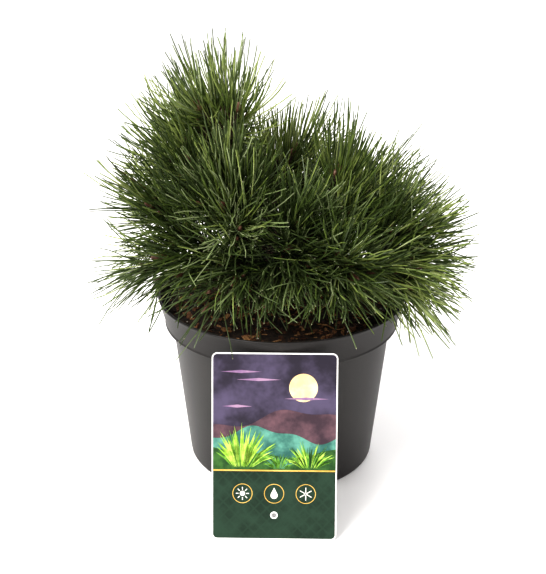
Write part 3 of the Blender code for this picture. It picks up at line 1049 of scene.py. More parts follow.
@dataclass
class Needles:
    """Bent needles, one row of each array for each needle."""

    foot: np.ndarray
    start: np.ndarray
    end: np.ndarray
    kink: np.ndarray
    outward: np.ndarray
    length: np.ndarray
    tone: np.ndarray

    def along(self, shares: np.ndarray) -> np.ndarray:
        """Points on every needle.

        Args:
            shares: How far along the needles they lie, from 0 to 1.

        Returns:
            The points, as needles by shares by 3.
        """
        even, square = shares[None, :, None], (shares**2 / 2)[None, :, None]
        swing = (shares**3 / 3 - shares**2 / 2)[None, :, None]
        path = self.start[:, None] * even + (self.end - self.start)[:, None] * square
        return self.foot[:, None] + (path + self.kink[:, None] * swing) * self.length[:, None, None]

    def ways(self, shares: np.ndarray) -> np.ndarray:
        """Which way every needle runs.

        Args:
            shares: How far along the needles, from 0 to 1.

        Returns:
            The unit directions, as needles by shares by 3.
        """
        even, swing = shares[None, :, None], (shares**2 - shares)[None, :, None]
        found = self.start[:, None] + (self.end - self.start)[:, None] * even + self.kink[:, None] * swing
        return unit(found)

    def chosen(self, keep: np.ndarray, cut: np.ndarray) -> "Needles":
        """The needles to keep, each cut to a share of its length.

        Args:
            keep: Which needles to keep.
            cut: The share of its length for each needle.

        Returns:
            The needles that are left.
        """
        return Needles(
            self.foot[keep], self.start[keep], self.end[keep], self.kink[keep], self.outward[keep],
            (self.length * cut)[keep], self.tone[keep],
        )


def unit(vectors: np.ndarray) -> np.ndarray:
    """The vectors at a length of one."""
    return vectors / np.linalg.norm(vectors, axis=-1, keepdims=True)


class Zone(NamedTuple):
    """A part of the crown with a soft edge: the axis that it is measured along (0 for X, 1 for Y
    and 2 for Z), where it begins, and how far on from there it is full."""

    axis: int
    start: float
    span: float

    def share(self, shoot: Shoot) -> float:
        """How far a shoot's tip lies inside, from 0 to 1."""
        return clamped((shoot.points[-1][self.axis] - self.start) / self.span)


@dataclass(frozen=True)
class Habit:
    """How needles stand on a shoot and differ from each other.

    A needle leans out by foot_lean degrees at a shoot's foot (top_lean at the top of the crown) and
    by tip_lean at its tip, and closes again by closing. lift, hang and top_lift turn its end up or
    down. The two needles of a pair part by parting, and by end_parting times that at their ends.
    closing_varies, wander and kinks first say how much the closing, the end's direction and the kink
    vary anywhere, and then how much more at the front of the crown. The third number in kinks is for
    needles that hang. roll and twist turn a blade round its own axis.
    """

    turn_varies: float = 0.3
    foot_lean: float = 62.0
    top_lean: float = 52.0
    tip_lean: float = 18.0
    lean_curve: float = 1.25
    leans: Pair = (0.88, 1.2)
    lean_varies: float = 7.0
    closing: float = 17.0
    closing_varies: Pair = (10.0, 16.0)
    shoot_lengths: Pair = (0.94, 1.08)
    length_varies: float = 0.11
    lengths: Pair = (0.7, 1.12)
    shortening: float = 0.08
    lift: Pair = (-0.05, 0.3)
    hang: Pair = (0.3, 1.3)
    top_lift: Pair = (0.2, 0.7)
    parting: Pair = (0.05, 0.17)
    end_parting: Pair = (0.6, 2.2)
    wander: Pair = (0.08, 0.2)
    kinks: tuple = (0.28, 0.3, 0.1)
    seat: float = 0.6 * MM
    paired: float = 0.35 * MM
    pair_lengths: Pair = (0.95, 1.02)
    pair_shaded: float = 0.33
    roll: float = 0.6
    twist: float = 0.9
    girths: Pair = (0.85, 1.12)


@dataclass(frozen=True)
class Buds:
    """Clusters of pointed buds on the tips of the shoots.

    sizes gives a bud's length by its shoot's order. around smaller buds lean out round the one at
    the tip of a stem or a side shoot. taper and taper_curve draw a bud's sides in towards its point,
    and its scales stand out by scale_height, in rows that wind round it.
    """

    sizes: tuple = (13 * MM, 9 * MM, 6 * MM)
    sunk: float = 1.2 * MM
    around: int = 3
    around_turn: float = 2.2
    around_lean: float = 0.75
    around_size: float = 0.55
    sides: int = 7
    rings: int = 6
    girth: float = 0.5
    taper: float = 0.5
    taper_curve: float = 1.6
    scale_height: float = 0.14
    scale_columns: int = 5
    scale_winding: float = 22

    def template(self) -> tuple[np.ndarray, list[tuple]]:
        """A pointed bud one unit long on +Z, with rows of scales.

        Returns:
            Its corners and its faces.
        """
        shape = bmesh.new()
        bmesh.ops.create_uvsphere(shape, u_segments=self.sides, v_segments=self.rings, radius=0.5)
        for vert in shape.verts:
            rise = vert.co.z + 0.5
            turn = math.atan2(vert.co.y, vert.co.x)
            scales = math.sin(self.scale_columns * turn + rise * self.scale_winding)
            slim = self.girth * (1 - self.taper * rise**self.taper_curve)
            scale = slim * (1 + self.scale_height * scales)
            vert.co.x *= scale
            vert.co.y *= scale
            vert.co.z = rise
        return shape_arrays(shape)

    def piece(self, name: str, shoots: list[Shoot], material: Material, draw: random.Random) -> Object:
        """Sets a cluster of buds on the tip of each shoot.

        Args:
            name: The piece's name.
            shoots: The shoots.
            material: The buds' material.
            draw: The source of chance.

        Returns:
            The new object.
        """
        points, faces = self.template()
        copies = []
        for shoot in shoots:
            tip = shoot.points[-1]
            axis = (tip - shoot.points[-2]).normalized()
            size = self.sizes[shoot.order]
            wanted = [(axis, size)]
            for number in range(self.around if shoot.order < 2 else 0):
                side = sideways(axis, number * self.around_turn + draw.uniform(0, 1))
                wanted.append(((axis + side * self.around_lean).normalized(), size * self.around_size))
            for way, long in wanted:
                turn = way.to_track_quat("Z", "Y").to_matrix().to_4x4()
                matrix = Matrix.Translation(tip - way * self.sunk) @ turn @ Matrix.Scale(long, 4)
                copies.append([(matrix @ Vector(point))[:] for point in points])
        builder = Builder()
        builder.add(np.array(copies), faces, np.zeros((len(copies), len(faces)), int))
        return builder.piece(name, [material])


@dataclass
class Foliage:
    """The twigs, buds and needles of every mass.

    The needles of a full-grown shoot are length long. pairs is how many pairs stand on a shoot and
    bare the share of it without needles, both by its order. A needle keeps margin clear of the pot,
    the soil and the card, and within reach of the pot's axis. Over the front of the rim only
    fringe_share of the needles are kept. hung, front_shade, right_sun and greyish weigh the
    crown's zones, and tones says how often a shoot starts from each green.
    """

    skeleton: Skeleton
    card: "CareCard"
    habit: Habit = Habit()
    tips: Buds = Buds()
    length: float = 49 * MM
    width: float = 0.9 * MM
    thickness: float = 0.74 * MM
    pairs: tuple = (52, 40, 15)
    bare: tuple = (0.34, 0.2, 0.15)
    margin: float = 1.2 * MM
    overhang: float = 5 * MM
    reach: float = 133 * MM
    fringe_height: float = 139 * MM
    fringe_front: float = -35 * MM
    fringe_side: float = 68 * MM
    fringe_share: float = 0.22
    hung: Pair = (0.3, 0.7)
    front_shade: float = 0.65
    right_sun: float = 0.75
    greyish: tuple = (0.1, 0.7, 0.75)
    tones: tuple = (0.17, 0.32, 0.33, 0.18)
    tone_steps: tuple = (-3, -2, -1, 0, 1, 2)
    # behind and paling make shoots at the back of the crown and sunlit shoots paler, as painted light, and
    # the field after paling darkens low shoots at the front, as painted shade.
    behind: float = 15 * MM
    paling: float = 0.85
    painted_low_shade: float = 0.3
    dry_share: float = 0.001
    pale_points: float = 0.5
    twig_swell: float = 0.12
    twig_swell_step: float = 2.4

    LOW = Zone(2, 172 * MM, -26 * MM)
    OVER_RIM = Zone(1, 0.0, -50 * MM)
    FRONT = Zone(1, 0.0, -60 * MM)
    TOP = Zone(2, 175 * MM, 30 * MM)
    RIGHT_EDGE = Zone(0, 40 * MM, 45 * MM)
    RIGHT = Zone(0, -10 * MM, 60 * MM)
    RINGS = (0.0, 0.06, 0.22, 0.4, 0.58, 0.77, 0.975)
    GIRTHS = (0.75, 0.9, 1.0, 1.0, 1.0, 0.97, 0.74)
    PARTS = (0, 1, 2, 3, 3, 4)
    RIDGE = 0.8
    KEEL = 0.2
    CHECKS = np.linspace(0.2, 1.0, 8)
    CUTS = (1.0, 0.84, 0.68)
    SHEATH = 0
    POINT = 1
    SUNLIT = 2
    GREENS = 5
    SHADED = 7
    DRY = 12
    SHOOT_SEED = 200
    NEEDLE_SEED = 500

    def materials(self) -> list[Material]:
        """The needles' materials.

        Returns:
            Sheath, point, five sunlit greens from dark to pale, five greyer greens for the shaded
            front, and dry brown.
        """
        sunlit = {
            "deep": (0.056, 0.083, 0.024),
            "green": (0.092, 0.130, 0.034),
            "leaf": (0.152, 0.204, 0.055),
            "olive": (0.238, 0.290, 0.090),
            "young": (0.335, 0.385, 0.165),
        }
        shaded = {
            "dusk": (0.060, 0.084, 0.032),
            "moss": (0.084, 0.115, 0.041),
            "sage": (0.134, 0.176, 0.066),
            "grey": (0.195, 0.243, 0.112),
            "pale": (0.290, 0.337, 0.185),
        }
        finishes = [
            NeedleFinish("needle_sheath", (0.085, 0.055, 0.034), 0.6, 0.7),
            NeedleFinish("needle_point", (0.30, 0.31, 0.20), 0.8, 0.5),
        ]
        finishes += [NeedleFinish("needle_" + name, colour) for name, colour in (sunlit | shaded).items()]
        finishes.append(NeedleFinish("needle_dry", (0.17, 0.10, 0.048), 0.6, 0.6))
        return [finish.build() for finish in finishes]

    def clear(self, points: np.ndarray) -> np.ndarray:
        """Which points keep clear of the pot, the soil and the care card, and within the crown.

        Args:
            points: The points, with X, Y and Z last.

        Returns:
            One truth value a point.
        """
        skeleton, margin = self.skeleton, self.margin
        radius = np.hypot(points[..., 0], points[..., 1])
        height = points[..., 2]
        in_soil = (radius < skeleton.rim_radius + margin) & (height < skeleton.soil_crown)
        near_rim = (radius > skeleton.collar_foot_radius) & (radius < skeleton.rim_radius + margin)
        in_rim = near_rim & (height < skeleton.pot_height + margin)
        to_card = np.array(self.card.matrix.inverted())
        local = points @ to_card[:3, :3].T + to_card[:3, 3]
        beside = np.abs(local[..., 0]) < self.card.width / 2 + margin
        behind = (local[..., 1] < self.card.length + margin) & (local[..., 2] < 1.5 * margin)
        across = local[..., 1] < self.card.length - self.overhang
        return (radius < self.reach) & ~(in_soil | in_rim | beside & (behind | across))

    def needles(self, shoot: Shoot, count: int, rng: np.random.Generator, builder: Builder) -> None:
        """Sets pairs of needles all round a shoot.

        Args:
            shoot: The shoot.
            count: How many pairs it bears.
            rng: The source of chance.
            builder: Where the needles go.
        """
        habit = self.habit
        share, root, axis = self.spots(shoot, count, rng)
        turn = rng.uniform(0, 2 * math.pi) + GOLDEN_ANGLE * np.arange(count)
        turn = turn + rng.normal(0, habit.turn_varies, count)
        reference = np.where(np.abs(axis[:, 2:3]) < 0.95, [[0.0, 0.0, 1.0]], [[1.0, 0.0, 0.0]])
        first = unit(np.cross(axis, reference))
        second = np.cross(axis, first)
        side = first * np.cos(turn)[:, None] + second * np.sin(turn)[:, None]
        tangent = np.cross(axis, side)
        hang, curl, top = self.hang(shoot), self.FRONT.share(shoot), self.TOP.share(shoot)
        steep = habit.foot_lean + (habit.top_lean - habit.foot_lean) * top
        opening = steep - (steep - habit.tip_lean) * share**habit.lean_curve
        lean = rng.uniform(*habit.leans) * opening
        lean = np.radians(lean + rng.normal(0, habit.lean_varies, count))
        least, more = habit.closing_varies
        closing = np.radians(rng.normal(habit.closing, least + more * curl, count))
        size = self.length * shoot.vigour * rng.uniform(*habit.shoot_lengths)
        length = size * np.clip(rng.normal(1.0, habit.length_varies, count), *habit.lengths)
        length = length * (1 - habit.shortening * share)
        pull = np.zeros((count, 3))
        pull[:, 2] = rng.uniform(*habit.lift, count) * (1 - hang) - rng.uniform(*habit.hang, count) * hang
        pull[:, 2] += rng.uniform(*habit.top_lift, count) * top
        tone = self.greens(shoot, count, rng)
        wander = habit.wander[0] + habit.wander[1] * curl
        kinked = habit.kinks[0] + habit.kinks[1] * curl + habit.kinks[2] * hang
        for hand in (-1.0, 1.0):
            part = rng.uniform(*habit.parting, count)[:, None] * hand
            ending = part * rng.uniform(*habit.end_parting, count)[:, None]
            start = unit(self.ray(axis, side, lean) + tangent * part)
            end = unit(self.ray(axis, side, lean - closing) + tangent * ending)
            end = unit(end + pull + rng.normal(0, wander, (count, 3)))
            foot = root + side * habit.seat + tangent * hand * habit.paired
            kink = rng.normal(0, kinked, (count, 3))
            sizes = length * rng.uniform(*habit.pair_lengths, count)
            shades = np.where(rng.random(count) < habit.pair_shaded, self.darker(tone, 1), tone)
            self.blades(Needles(foot, start, end, kink, tangent * hand, sizes, shades), rng, builder)

    def hang(self, shoot: Shoot) -> float:
        """How far a shoot's needles hang: 1 low over the front of the rim, and 0 higher up."""
        least, more = self.hung
        return self.LOW.share(shoot) * (least + more * self.OVER_RIM.share(shoot))

    def sunlit(self, shoot: Shoot) -> float:
        """How much painted light paling a shoot's greens get: most at the top of the crown, less at its
        front, and on the right.
        """
        top = self.TOP.share(shoot) * (1 - self.front_shade * self.FRONT.share(shoot))
        return max(top, self.right_sun * self.RIGHT_EDGE.share(shoot))

    def dull(self, shoot: Shoot) -> float:
        """How many of a shoot's needles take the greyer greens of the painted shade: more at the front,
        fewer towards the right.
        """
        least, more, less = self.greyish
        return least + more * self.FRONT.share(shoot) * (1 - less * self.RIGHT.share(shoot))

    def greens(self, shoot: Shoot, count: int, rng: np.random.Generator) -> np.ndarray:
        """The greens of one shoot's pairs, which keep near one tone, with painted light and shade in them:
        darker for painted shade low down at the front, paler for painted light where the shoot is sunlit
        and where it stands at the back of the crown, and greyer towards the front, where the greyer
        greens stand for shade.

        Args:
            shoot: The shoot.
            count: How many pairs it bears.
            rng: The source of chance.

        Returns:
            The material number of each pair.
        """
        # Painted light: sunlit shoots start up to two steps paler.
        tone = rng.choice(len(self.tones), p=self.tones) + rng.binomial(2, self.paling * self.sunlit(shoot))
        # Painted light: shoots at the back of the crown, in the shade of the crown before them, are one
        # step paler.
        tone += shoot.points[-1].y > self.behind
        # Painted shade: low shoots over the front of the rim are at times one step darker.
        tone -= rng.random() < self.painted_low_shade * self.hang(shoot)
        levels = np.clip(tone + rng.choice(self.tone_steps, count), 0, self.GREENS - 1)
        grey = rng.random(count) < self.dull(shoot)
        greens = levels + np.where(grey, self.SHADED, self.SUNLIT)
        return np.where(rng.random(count) < self.dry_share, self.DRY, greens)

    def darker(self, tones: np.ndarray, steps: int) -> np.ndarray:
        """The same kind of green, but darker. A dry needle stays as it is.

        Args:
            tones: The material numbers.
            steps: How many steps darker.

        Returns:
            The darker greens' material numbers.
        """
        level = (tones - self.SUNLIT) % self.GREENS
        return np.where(tones == self.DRY, tones, tones - np.minimum(level, steps))

    def ray(self, axis: np.ndarray, side: np.ndarray, lean: np.ndarray) -> np.ndarray:
        """The direction that leans from an axis towards its side."""
        return axis * np.cos(lean)[:, None] + side * np.sin(lean)[:, None]

    def spots(self, shoot: Shoot, count: int, rng: np.random.Generator) -> tuple:
        """Where the pairs of a shoot stand.

        Args:
            shoot: The shoot.
            count: How many pairs it bears.
            rng: The source of chance.

        Returns:
            The share of the shoot, the point and the shoot's direction for each pair.
        """
        first = self.bare[shoot.order]
        share = first + (1 - first) * (np.arange(count) + rng.uniform(0.1, 0.9, count)) / count
        line = np.array([point[:] for point in shoot.points])
        spot = np.clip(share * (len(line) - 1), 0, len(line) - 1.001)
        index = spot.astype(int)
        part = (spot - index)[:, None]
        along = line[index + 1] - line[index]
        return share, line[index] + along * part, unit(along)

    def blades(self, needles: Needles, rng: np.random.Generator, builder: Builder) -> None:
        """Adds needles. One that would run into something is cut shorter, or else left out.

        Args:
            needles: The needles.
            rng: The source of chance.
            builder: Where they go.
        """
        habit = self.habit
        kept = np.zeros(len(needles.foot))
        for cut in self.CUTS:
            fits = self.clear(needles.along(self.CHECKS * cut)).all(axis=1)
            kept = np.where((kept == 0) & fits, cut, kept)
        tip = needles.along(np.array([1.0]))[:, 0]
        fringe = (tip[:, 2] < self.fringe_height) & (tip[:, 1] < self.fringe_front)
        fringe &= tip[:, 0] < self.fringe_side
        kept[fringe & (rng.random(len(tip)) > self.fringe_share)] = 0
        needles = needles.chosen(kept > 0, kept)
        copies = len(needles.foot)
        rings = np.array(self.RINGS)
        centres, ways = needles.along(rings), needles.ways(rings)
        roll = rng.uniform(-habit.roll, habit.roll, copies)[:, None]
        roll = roll + rng.uniform(-habit.twist, habit.twist, copies)[:, None] * rings
        across = unit(np.cross(ways, needles.outward[:, None]))
        out = np.cross(across, ways)
        wide = across * np.cos(roll)[..., None] + out * np.sin(roll)[..., None]
        deep = out * np.cos(roll)[..., None] - across * np.sin(roll)[..., None]
        girth = np.array(self.GIRTHS)[None, :, None] * rng.uniform(*habit.girths, copies)[:, None, None]
        half, thick = wide * girth * self.width / 2, deep * girth * self.thickness
        corners = (
            centres - half, centres + thick * self.RIDGE, centres + half, centres - thick * self.KEEL,
        )
        tips = needles.along(np.array([1.0]))
        sides = np.stack(corners, axis=2).reshape(copies, 4 * len(rings), 3)
        points = np.concatenate([sides, tips], axis=1)
        faces, parts = self.template()
        # Painted shade: a blade is two steps darker at its foot and one step darker above that, for the
        # shade deep in the tuft, and its point is two steps darker but for the pale points of some greyer
        # needles. A sunlit needle's end is one step darker too, for the shade of a needle seen against the
        # light.
        shaded = needles.tone >= self.SHADED
        end = np.where(shaded, needles.tone, self.darker(needles.tone, 1))
        pale = shaded & (rng.random(copies) < self.pale_points)
        base, middle = self.darker(needles.tone, 2), self.darker(needles.tone, 1)
        point = np.where(pale, self.POINT, base)
        sheath = np.full(copies, self.SHEATH)
        slots = np.stack([sheath, base, middle, needles.tone, end, point])[parts].T
        builder.add(points, faces, slots)

    def template(self) -> tuple[list[tuple], np.ndarray]:
        """How one needle is made up.

        Returns:
            Its faces, and for each 0 for its sheath, 1 to 4 for its blade or 5 for its point.
        """
        last = len(self.RINGS) - 1
        faces, parts = [(3, 2, 1, 0)], [0]
        for ring in range(last):
            for corner in range(4):
                low, high = ring * 4 + corner, ring * 4 + (corner + 1) % 4
                faces.append((low, high, high + 4, low + 4))
                parts.append(self.PARTS[ring])
        for corner in range(4):
            faces.append((last * 4 + corner, last * 4 + (corner + 1) % 4, last * 4 + 4))
            parts.append(5)
        return faces, np.array(parts)

    def twigs(self, name: str, shoots: list[Shoot], materials: list[Material]) -> Object:
        """The bare twigs of a mass, as round limbs joined into one piece.

        Args:
            name: The piece's name.
            shoots: The shoots of the mass.
            materials: The piece's materials.

        Returns:
            The new object.
        """
        curve = bpy.data.curves.new(name, "CURVE")
        curve.dimensions = "3D"
        curve.bevel_depth = 1.0
        curve.bevel_resolution = 2
        curve.use_fill_caps = True
        for shoot in shoots:
            spline = curve.splines.new("POLY")
            spline.points.add(len(shoot.points) - 1)
            last = len(shoot.points) - 1
            for number, (spot, point) in enumerate(zip(spline.points, shoot.points)):
                spot.co = (*point, 1)
                swell = 1 + self.twig_swell * math.sin(number * self.twig_swell_step)
                spot.radius = (shoot.girth[0] + (shoot.girth[1] - shoot.girth[0]) * number / last) * swell
        mesh = curve_mesh(curve)
        mesh.polygons.foreach_set("use_smooth", [True] * len(mesh.polygons))
        return place(name, mesh, materials)

    def build(self) -> None:
        """Builds the needles, twigs and buds of every mass."""
        needle_materials = self.materials()
        crack, plate, worn = (0.03, 0.020, 0.013), (0.085, 0.055, 0.035), (0.17, 0.125, 0.085)
        twig = BarkFinish("twig_bark", crack, plate, worn, 1.6 * MM, 0.25 * MM).build()
        bud = BudFinish().build()
        grown = self.skeleton.grow()
        for number, mass in enumerate(MASSES):
            draw = random.Random(self.SHOOT_SEED + number)
            rng = np.random.default_rng(self.NEEDLE_SEED + number)
            shoots = self.skeleton.shoots_of(mass, grown[mass.name], draw)
            needles = Builder()
            for shoot in shoots:
                self.needles(shoot, round(self.pairs[shoot.order] * mass.density), rng, needles)
            node = "needles_" + mass.name
            sprays = needles.piece("sprays_" + mass.name, needle_materials, smooth=False)
            settle(sprays, Slot.NEEDLES, node)
            settle(self.twigs("twigs_" + mass.name, shoots, [twig]), Slot.BARK, node)
            settle(self.tips.piece("buds_" + mass.name, shoots, bud, draw), Slot.BARK, node)


@dataclass
class NurseryPot:
    """The moulded pot: a tapered wall, a stepped collar, a rolled rim and a drained floor."""

    height: float = 122 * MM
    rim: float = 85 * MM
    collar: float = 21 * MM
    collar_foot: float = 80 * MM
    wall_top: float = 75.2 * MM
    wall_foot: float = 65 * MM
    wall: float = 1.4 * MM
    floor: float = 2 * MM
    corner: float = 3 * MM
    bead: float = 0.8 * MM
    steps: int = 160
    holes: int = 8
    hole_radius: float = 4 * MM
    hole_circle: float = 48 * MM
    hole_sides: int = 24
    sharp: float = math.radians(40)

    def profile(self) -> list[tuple[float, float]]:
        """The pot's section.

        Returns:
            Points of radius and height, from the axis inside to the axis underneath.
        """
        foot = self.height - self.collar
        wall, bead = self.wall, self.bead
        points = [(0.0, self.floor), (self.wall_foot - wall - self.corner, self.floor)]
        inner = self.wall_foot - wall - self.corner
        points += arc(inner, self.floor + self.corner, self.corner, -90, 0)
        points += [
            (self.wall_top - wall, foot - 1.2 * MM),
            (self.wall_top - wall + 0.5 * MM, foot + 0.6 * MM),
            (self.collar_foot - wall - 0.6 * MM, foot + wall),
            (self.collar_foot - wall, foot + wall + 0.8 * MM),
            (self.rim - wall - bead, self.height - 2.5 * bead),
        ]
        points += arc(self.rim - wall * 0.9, self.height - bead, bead, 180, 90)
        points += arc(self.rim - bead, self.height - bead, bead, 90, -40)
        points += [
            (self.rim - bead * 0.75, self.height - 3 * bead),
            (self.rim - bead * 1.1, self.height - 4 * bead),
            (self.collar_foot + bead * 0.3, foot + 3.2 * bead),
        ]
        points += arc(self.collar_foot, foot + 1.4 * bead, bead * 0.9, 60, -75)
        points += [
            (self.collar_foot - bead * 0.6, foot + bead * 0.15),
            (self.wall_top + bead * 0.8, foot),
            (self.wall_top + bead * 0.1, foot - bead * 0.9),
            (self.wall_foot + 0.2 * MM, self.corner * 1.3),
        ]
        points += arc(self.wall_foot - self.corner, self.corner, self.corner, 0, -90)
        return points + [(0.0, 0.0)]

    def build(self) -> None:
        """Builds the pot with its drain holes."""
        pot = moulded("pot_shell", turned(self.profile(), self.steps), [PotFinish().build()])
        self.drill(pot)
        pot.data.set_sharp_from_angle(angle=self.sharp)
        settle(pot, Slot.POT, "pot")

    def drill(self, pot: Object) -> None:
        """Cuts the round drain holes out of the pot's floor.

        Args:
            pot: The pot, whose mesh is replaced.
        """
        shape = bmesh.new()
        for number in range(self.holes):
            turn = 2 * math.pi * (number + 0.5) / self.holes
            spot = Vector((math.cos(turn), math.sin(turn), 0)) * self.hole_circle
            bmesh.ops.create_cone(
                shape, cap_ends=True, segments=self.hole_sides, radius1=self.hole_radius,
                radius2=self.hole_radius, depth=4 * self.floor, matrix=Matrix.Translation(spot),
            )
        drills = moulded("drills", shape, [], smooth=False)
        boolean = pot.modifiers.new("drain", "BOOLEAN")
        boolean.operation = "DIFFERENCE"
        boolean.object = drills
        graph = bpy.context.evaluated_depsgraph_get()
        drained = bpy.data.meshes.new_from_object(pot.evaluated_get(graph))
        pot.modifiers.clear()
        pot.data = drained
        bpy.data.objects.remove(drills, do_unlink=True)


@dataclass
class PottingSoil:
    """The root ball: moist peat with bark chips, perlite grains and fallen needles on it.

    flank is the ball's side inside the pot, from the collar down to the floor, as radius and height.
    clods and crumbs are a size and a weight in the soil's relief. strewn_tilts and knocked say how
    much a strewn grain is tilted and knocked out of shape. long_chips is the share of chips that are
    long, and how much longer they are.
    """

    foliage: Foliage
    crown: float = 117 * MM
    edge_height: float = 113 * MM
    edge: float = 80 * MM
    edge_gap: float = 2 * MM
    flat: float = 22 * MM
    dome_curve: float = 1.5
    settled: float = 0.8 * MM
    flank: tuple = (
        (77.2 * MM, 104 * MM), (72.9 * MM, 99 * MM), (62.8 * MM, 6 * MM), (59.5 * MM, 2.6 * MM),
        (0.0, 2.6 * MM),
    )
    steps: int = 150
    rings: int = 56
    lumps: float = 2.2 * MM
    clods: Pair = (14 * MM, 0.5)
    crumbs: Pair = (3.2 * MM, 0.32)
    strewn_tilts: Pair = (0.5, 0.4)
    knocked: float = 0.09
    chips: int = 1100
    chip_lengths: Pair = (1.5, 7)
    long_chips: Pair = (0.12, 1.7)
    chip_widths: Pair = (0.16, 0.5)
    chip_thicknesses: Pair = (0.5, 1.5)
    chip_bevel: float = 0.16
    chip_kinds: tuple = (0, 0, 1, 2)
    grains: int = 45
    grain_sizes: Pair = (1.0, 2.8)
    fallen: int = 110
    fallen_spread: float = 0.86
    fallen_lift: float = 1.1 * MM
    fallen_lengths: Pair = (16, 34)
    fallen_rise: Pair = (0.0, 0.06)
    fallen_bend: float = 0.25

    SURFACE_SEED = 5
    STREWN_SEED = 77
    FALLEN_SEED = 9

    def surface(self, x: float, y: float) -> float:
        """How high the soil lies.

        Args:
            x: The place's X.
            y: The place's Y.

        Returns:
            Its Z.
        """
        radius = math.hypot(x, y)
        share = max(0.0, (radius - self.flat) / (self.edge - self.flat))
        dome = self.crown + (self.edge_height - self.crown) * share**self.dome_curve
        spot = Vector((x, y, 0))
        rough, fine = (cloudy(spot / size) * weight for size, weight in (self.clods, self.crumbs))
        return dome + self.lumps * (rough + fine) - self.settled

    def body(self) -> Object:
        """The ball of soil itself, with a rough top.

        Returns:
            The new object.
        """
        top = [(self.edge * i / self.rings, self.crown) for i in range(self.rings + 1)]
        shape = turned([*top, *self.flank], self.steps)
        for vert in shape.verts:
            if vert.co.z > self.crown - 0.001 * MM:
                vert.co.z = self.surface(vert.co.x, vert.co.y)
        finish = SoilFinish("peat", (0.013, 0.0085, 0.006), (0.066, 0.038, 0.022), 1.3 * MM)
        return moulded("potting_soil", shape, [finish.build()])

    def scatter(self, draw: random.Random) -> Vector:
        """Draws a place on the soil.

        Args:
            draw: The source of chance.

        Returns:
            The place.
        """
        radius = (self.edge - self.edge_gap) * math.sqrt(draw.random())
        turn = draw.uniform(0, 2 * math.pi)
        x, y = radius * math.cos(turn), radius * math.sin(turn)
        return Vector((x, y, self.surface(x, y)))

    def strewn(
        self, shape: BMesh, count: int, sizes: Callable, draw: random.Random
    ) -> tuple[np.ndarray, list[tuple]]:
        """Copies of a small shape, strewn over the soil.

        Args:
            shape: The shape, one unit across.
            count: How many copies lie on the soil.
            sizes: A function that draws a copy's three sizes.
            draw: The source of chance.

        Returns:
            The copies' corners and the shape's faces.
        """
        points, faces = shape_arrays(shape)
        pitch, roll = self.strewn_tilts
        copies = []
        for _ in range(count):
            size = sizes()
            tilt = Matrix.Rotation(draw.uniform(-pitch, pitch), 4, "X")
            tilt = tilt @ Matrix.Rotation(draw.uniform(-roll, roll), 4, "Y")
            turn = Matrix.Rotation(draw.uniform(0, 2 * math.pi), 4, "Z")
            matrix = Matrix.Translation(self.scatter(draw)) @ turn @ tilt @ Matrix.Diagonal((*size, 1))
            rough = [Vector(point) + noise.random_vector() * self.knocked for point in points]
            copies.append([(matrix @ point)[:] for point in rough])
        return np.array(copies), faces

    def chip_piece(self, draw: random.Random) -> Object:
        """Bark chips and wood fibres.

        Args:
            draw: The source of chance.

        Returns:
            The new object.
        """
        shape = bmesh.new()
        bmesh.ops.create_cube(shape, size=1.0)
        bmesh.ops.bevel(
            shape, geom=shape.edges, offset=self.chip_bevel, segments=1, affect="EDGES", profile=0.5,
            material=-1,
        )

        often, longer = self.long_chips

        def sizes() -> tuple[float, float, float]:
            """A chip's length, width and thickness."""
            long = draw.uniform(*self.chip_lengths) * MM * (longer if draw.random() < often else 1)
            return long, long * draw.uniform(*self.chip_widths), draw.uniform(*self.chip_thicknesses) * MM

        points, faces = self.strewn(shape, self.chips, sizes, draw)
        kinds = np.array([draw.choice(self.chip_kinds) for _ in range(self.chips)])
        builder = Builder()
        builder.add(points, faces, np.repeat(kinds[:, None], len(faces), 1))
        finishes = (
            SoilFinish("bark_chip_dark", (0.030, 0.014, 0.008), (0.11, 0.048, 0.022), 0.8 * MM, 0.3 * MM),
            SoilFinish("bark_chip_rust", (0.10, 0.045, 0.021), (0.33, 0.16, 0.072), 0.8 * MM, 0.3 * MM),
            SoilFinish("wood_fibre", (0.18, 0.085, 0.034), (0.50, 0.30, 0.14), 0.6 * MM, 0.3 * MM),
        )
        return builder.piece("bark_chips", [finish.build() for finish in finishes], smooth=False)

    def grain_piece(self, draw: random.Random) -> Object:
        """White perlite grains.

        Args:
            draw: The source of chance.

        Returns:
            The new object.
        """
        shape = bmesh.new()
        bmesh.ops.create_icosphere(shape, subdivisions=1, radius=0.5)

        def sizes() -> tuple[float, float, float]:
            """A grain's three sizes."""
            size = draw.uniform(*self.grain_sizes) * MM
            return size, size * draw.uniform(0.7, 1), size * draw.uniform(0.6, 0.9)

        points, faces = self.strewn(shape, self.grains, sizes, draw)
        builder = Builder()
        builder.add(points, faces, np.zeros((len(points), len(faces)), int))
        finish = SoilFinish("perlite", (0.42, 0.38, 0.33), (0.82, 0.80, 0.76), 0.5 * MM, 0.2 * MM)
        return builder.piece("perlite_grains", [finish.build()], smooth=False)

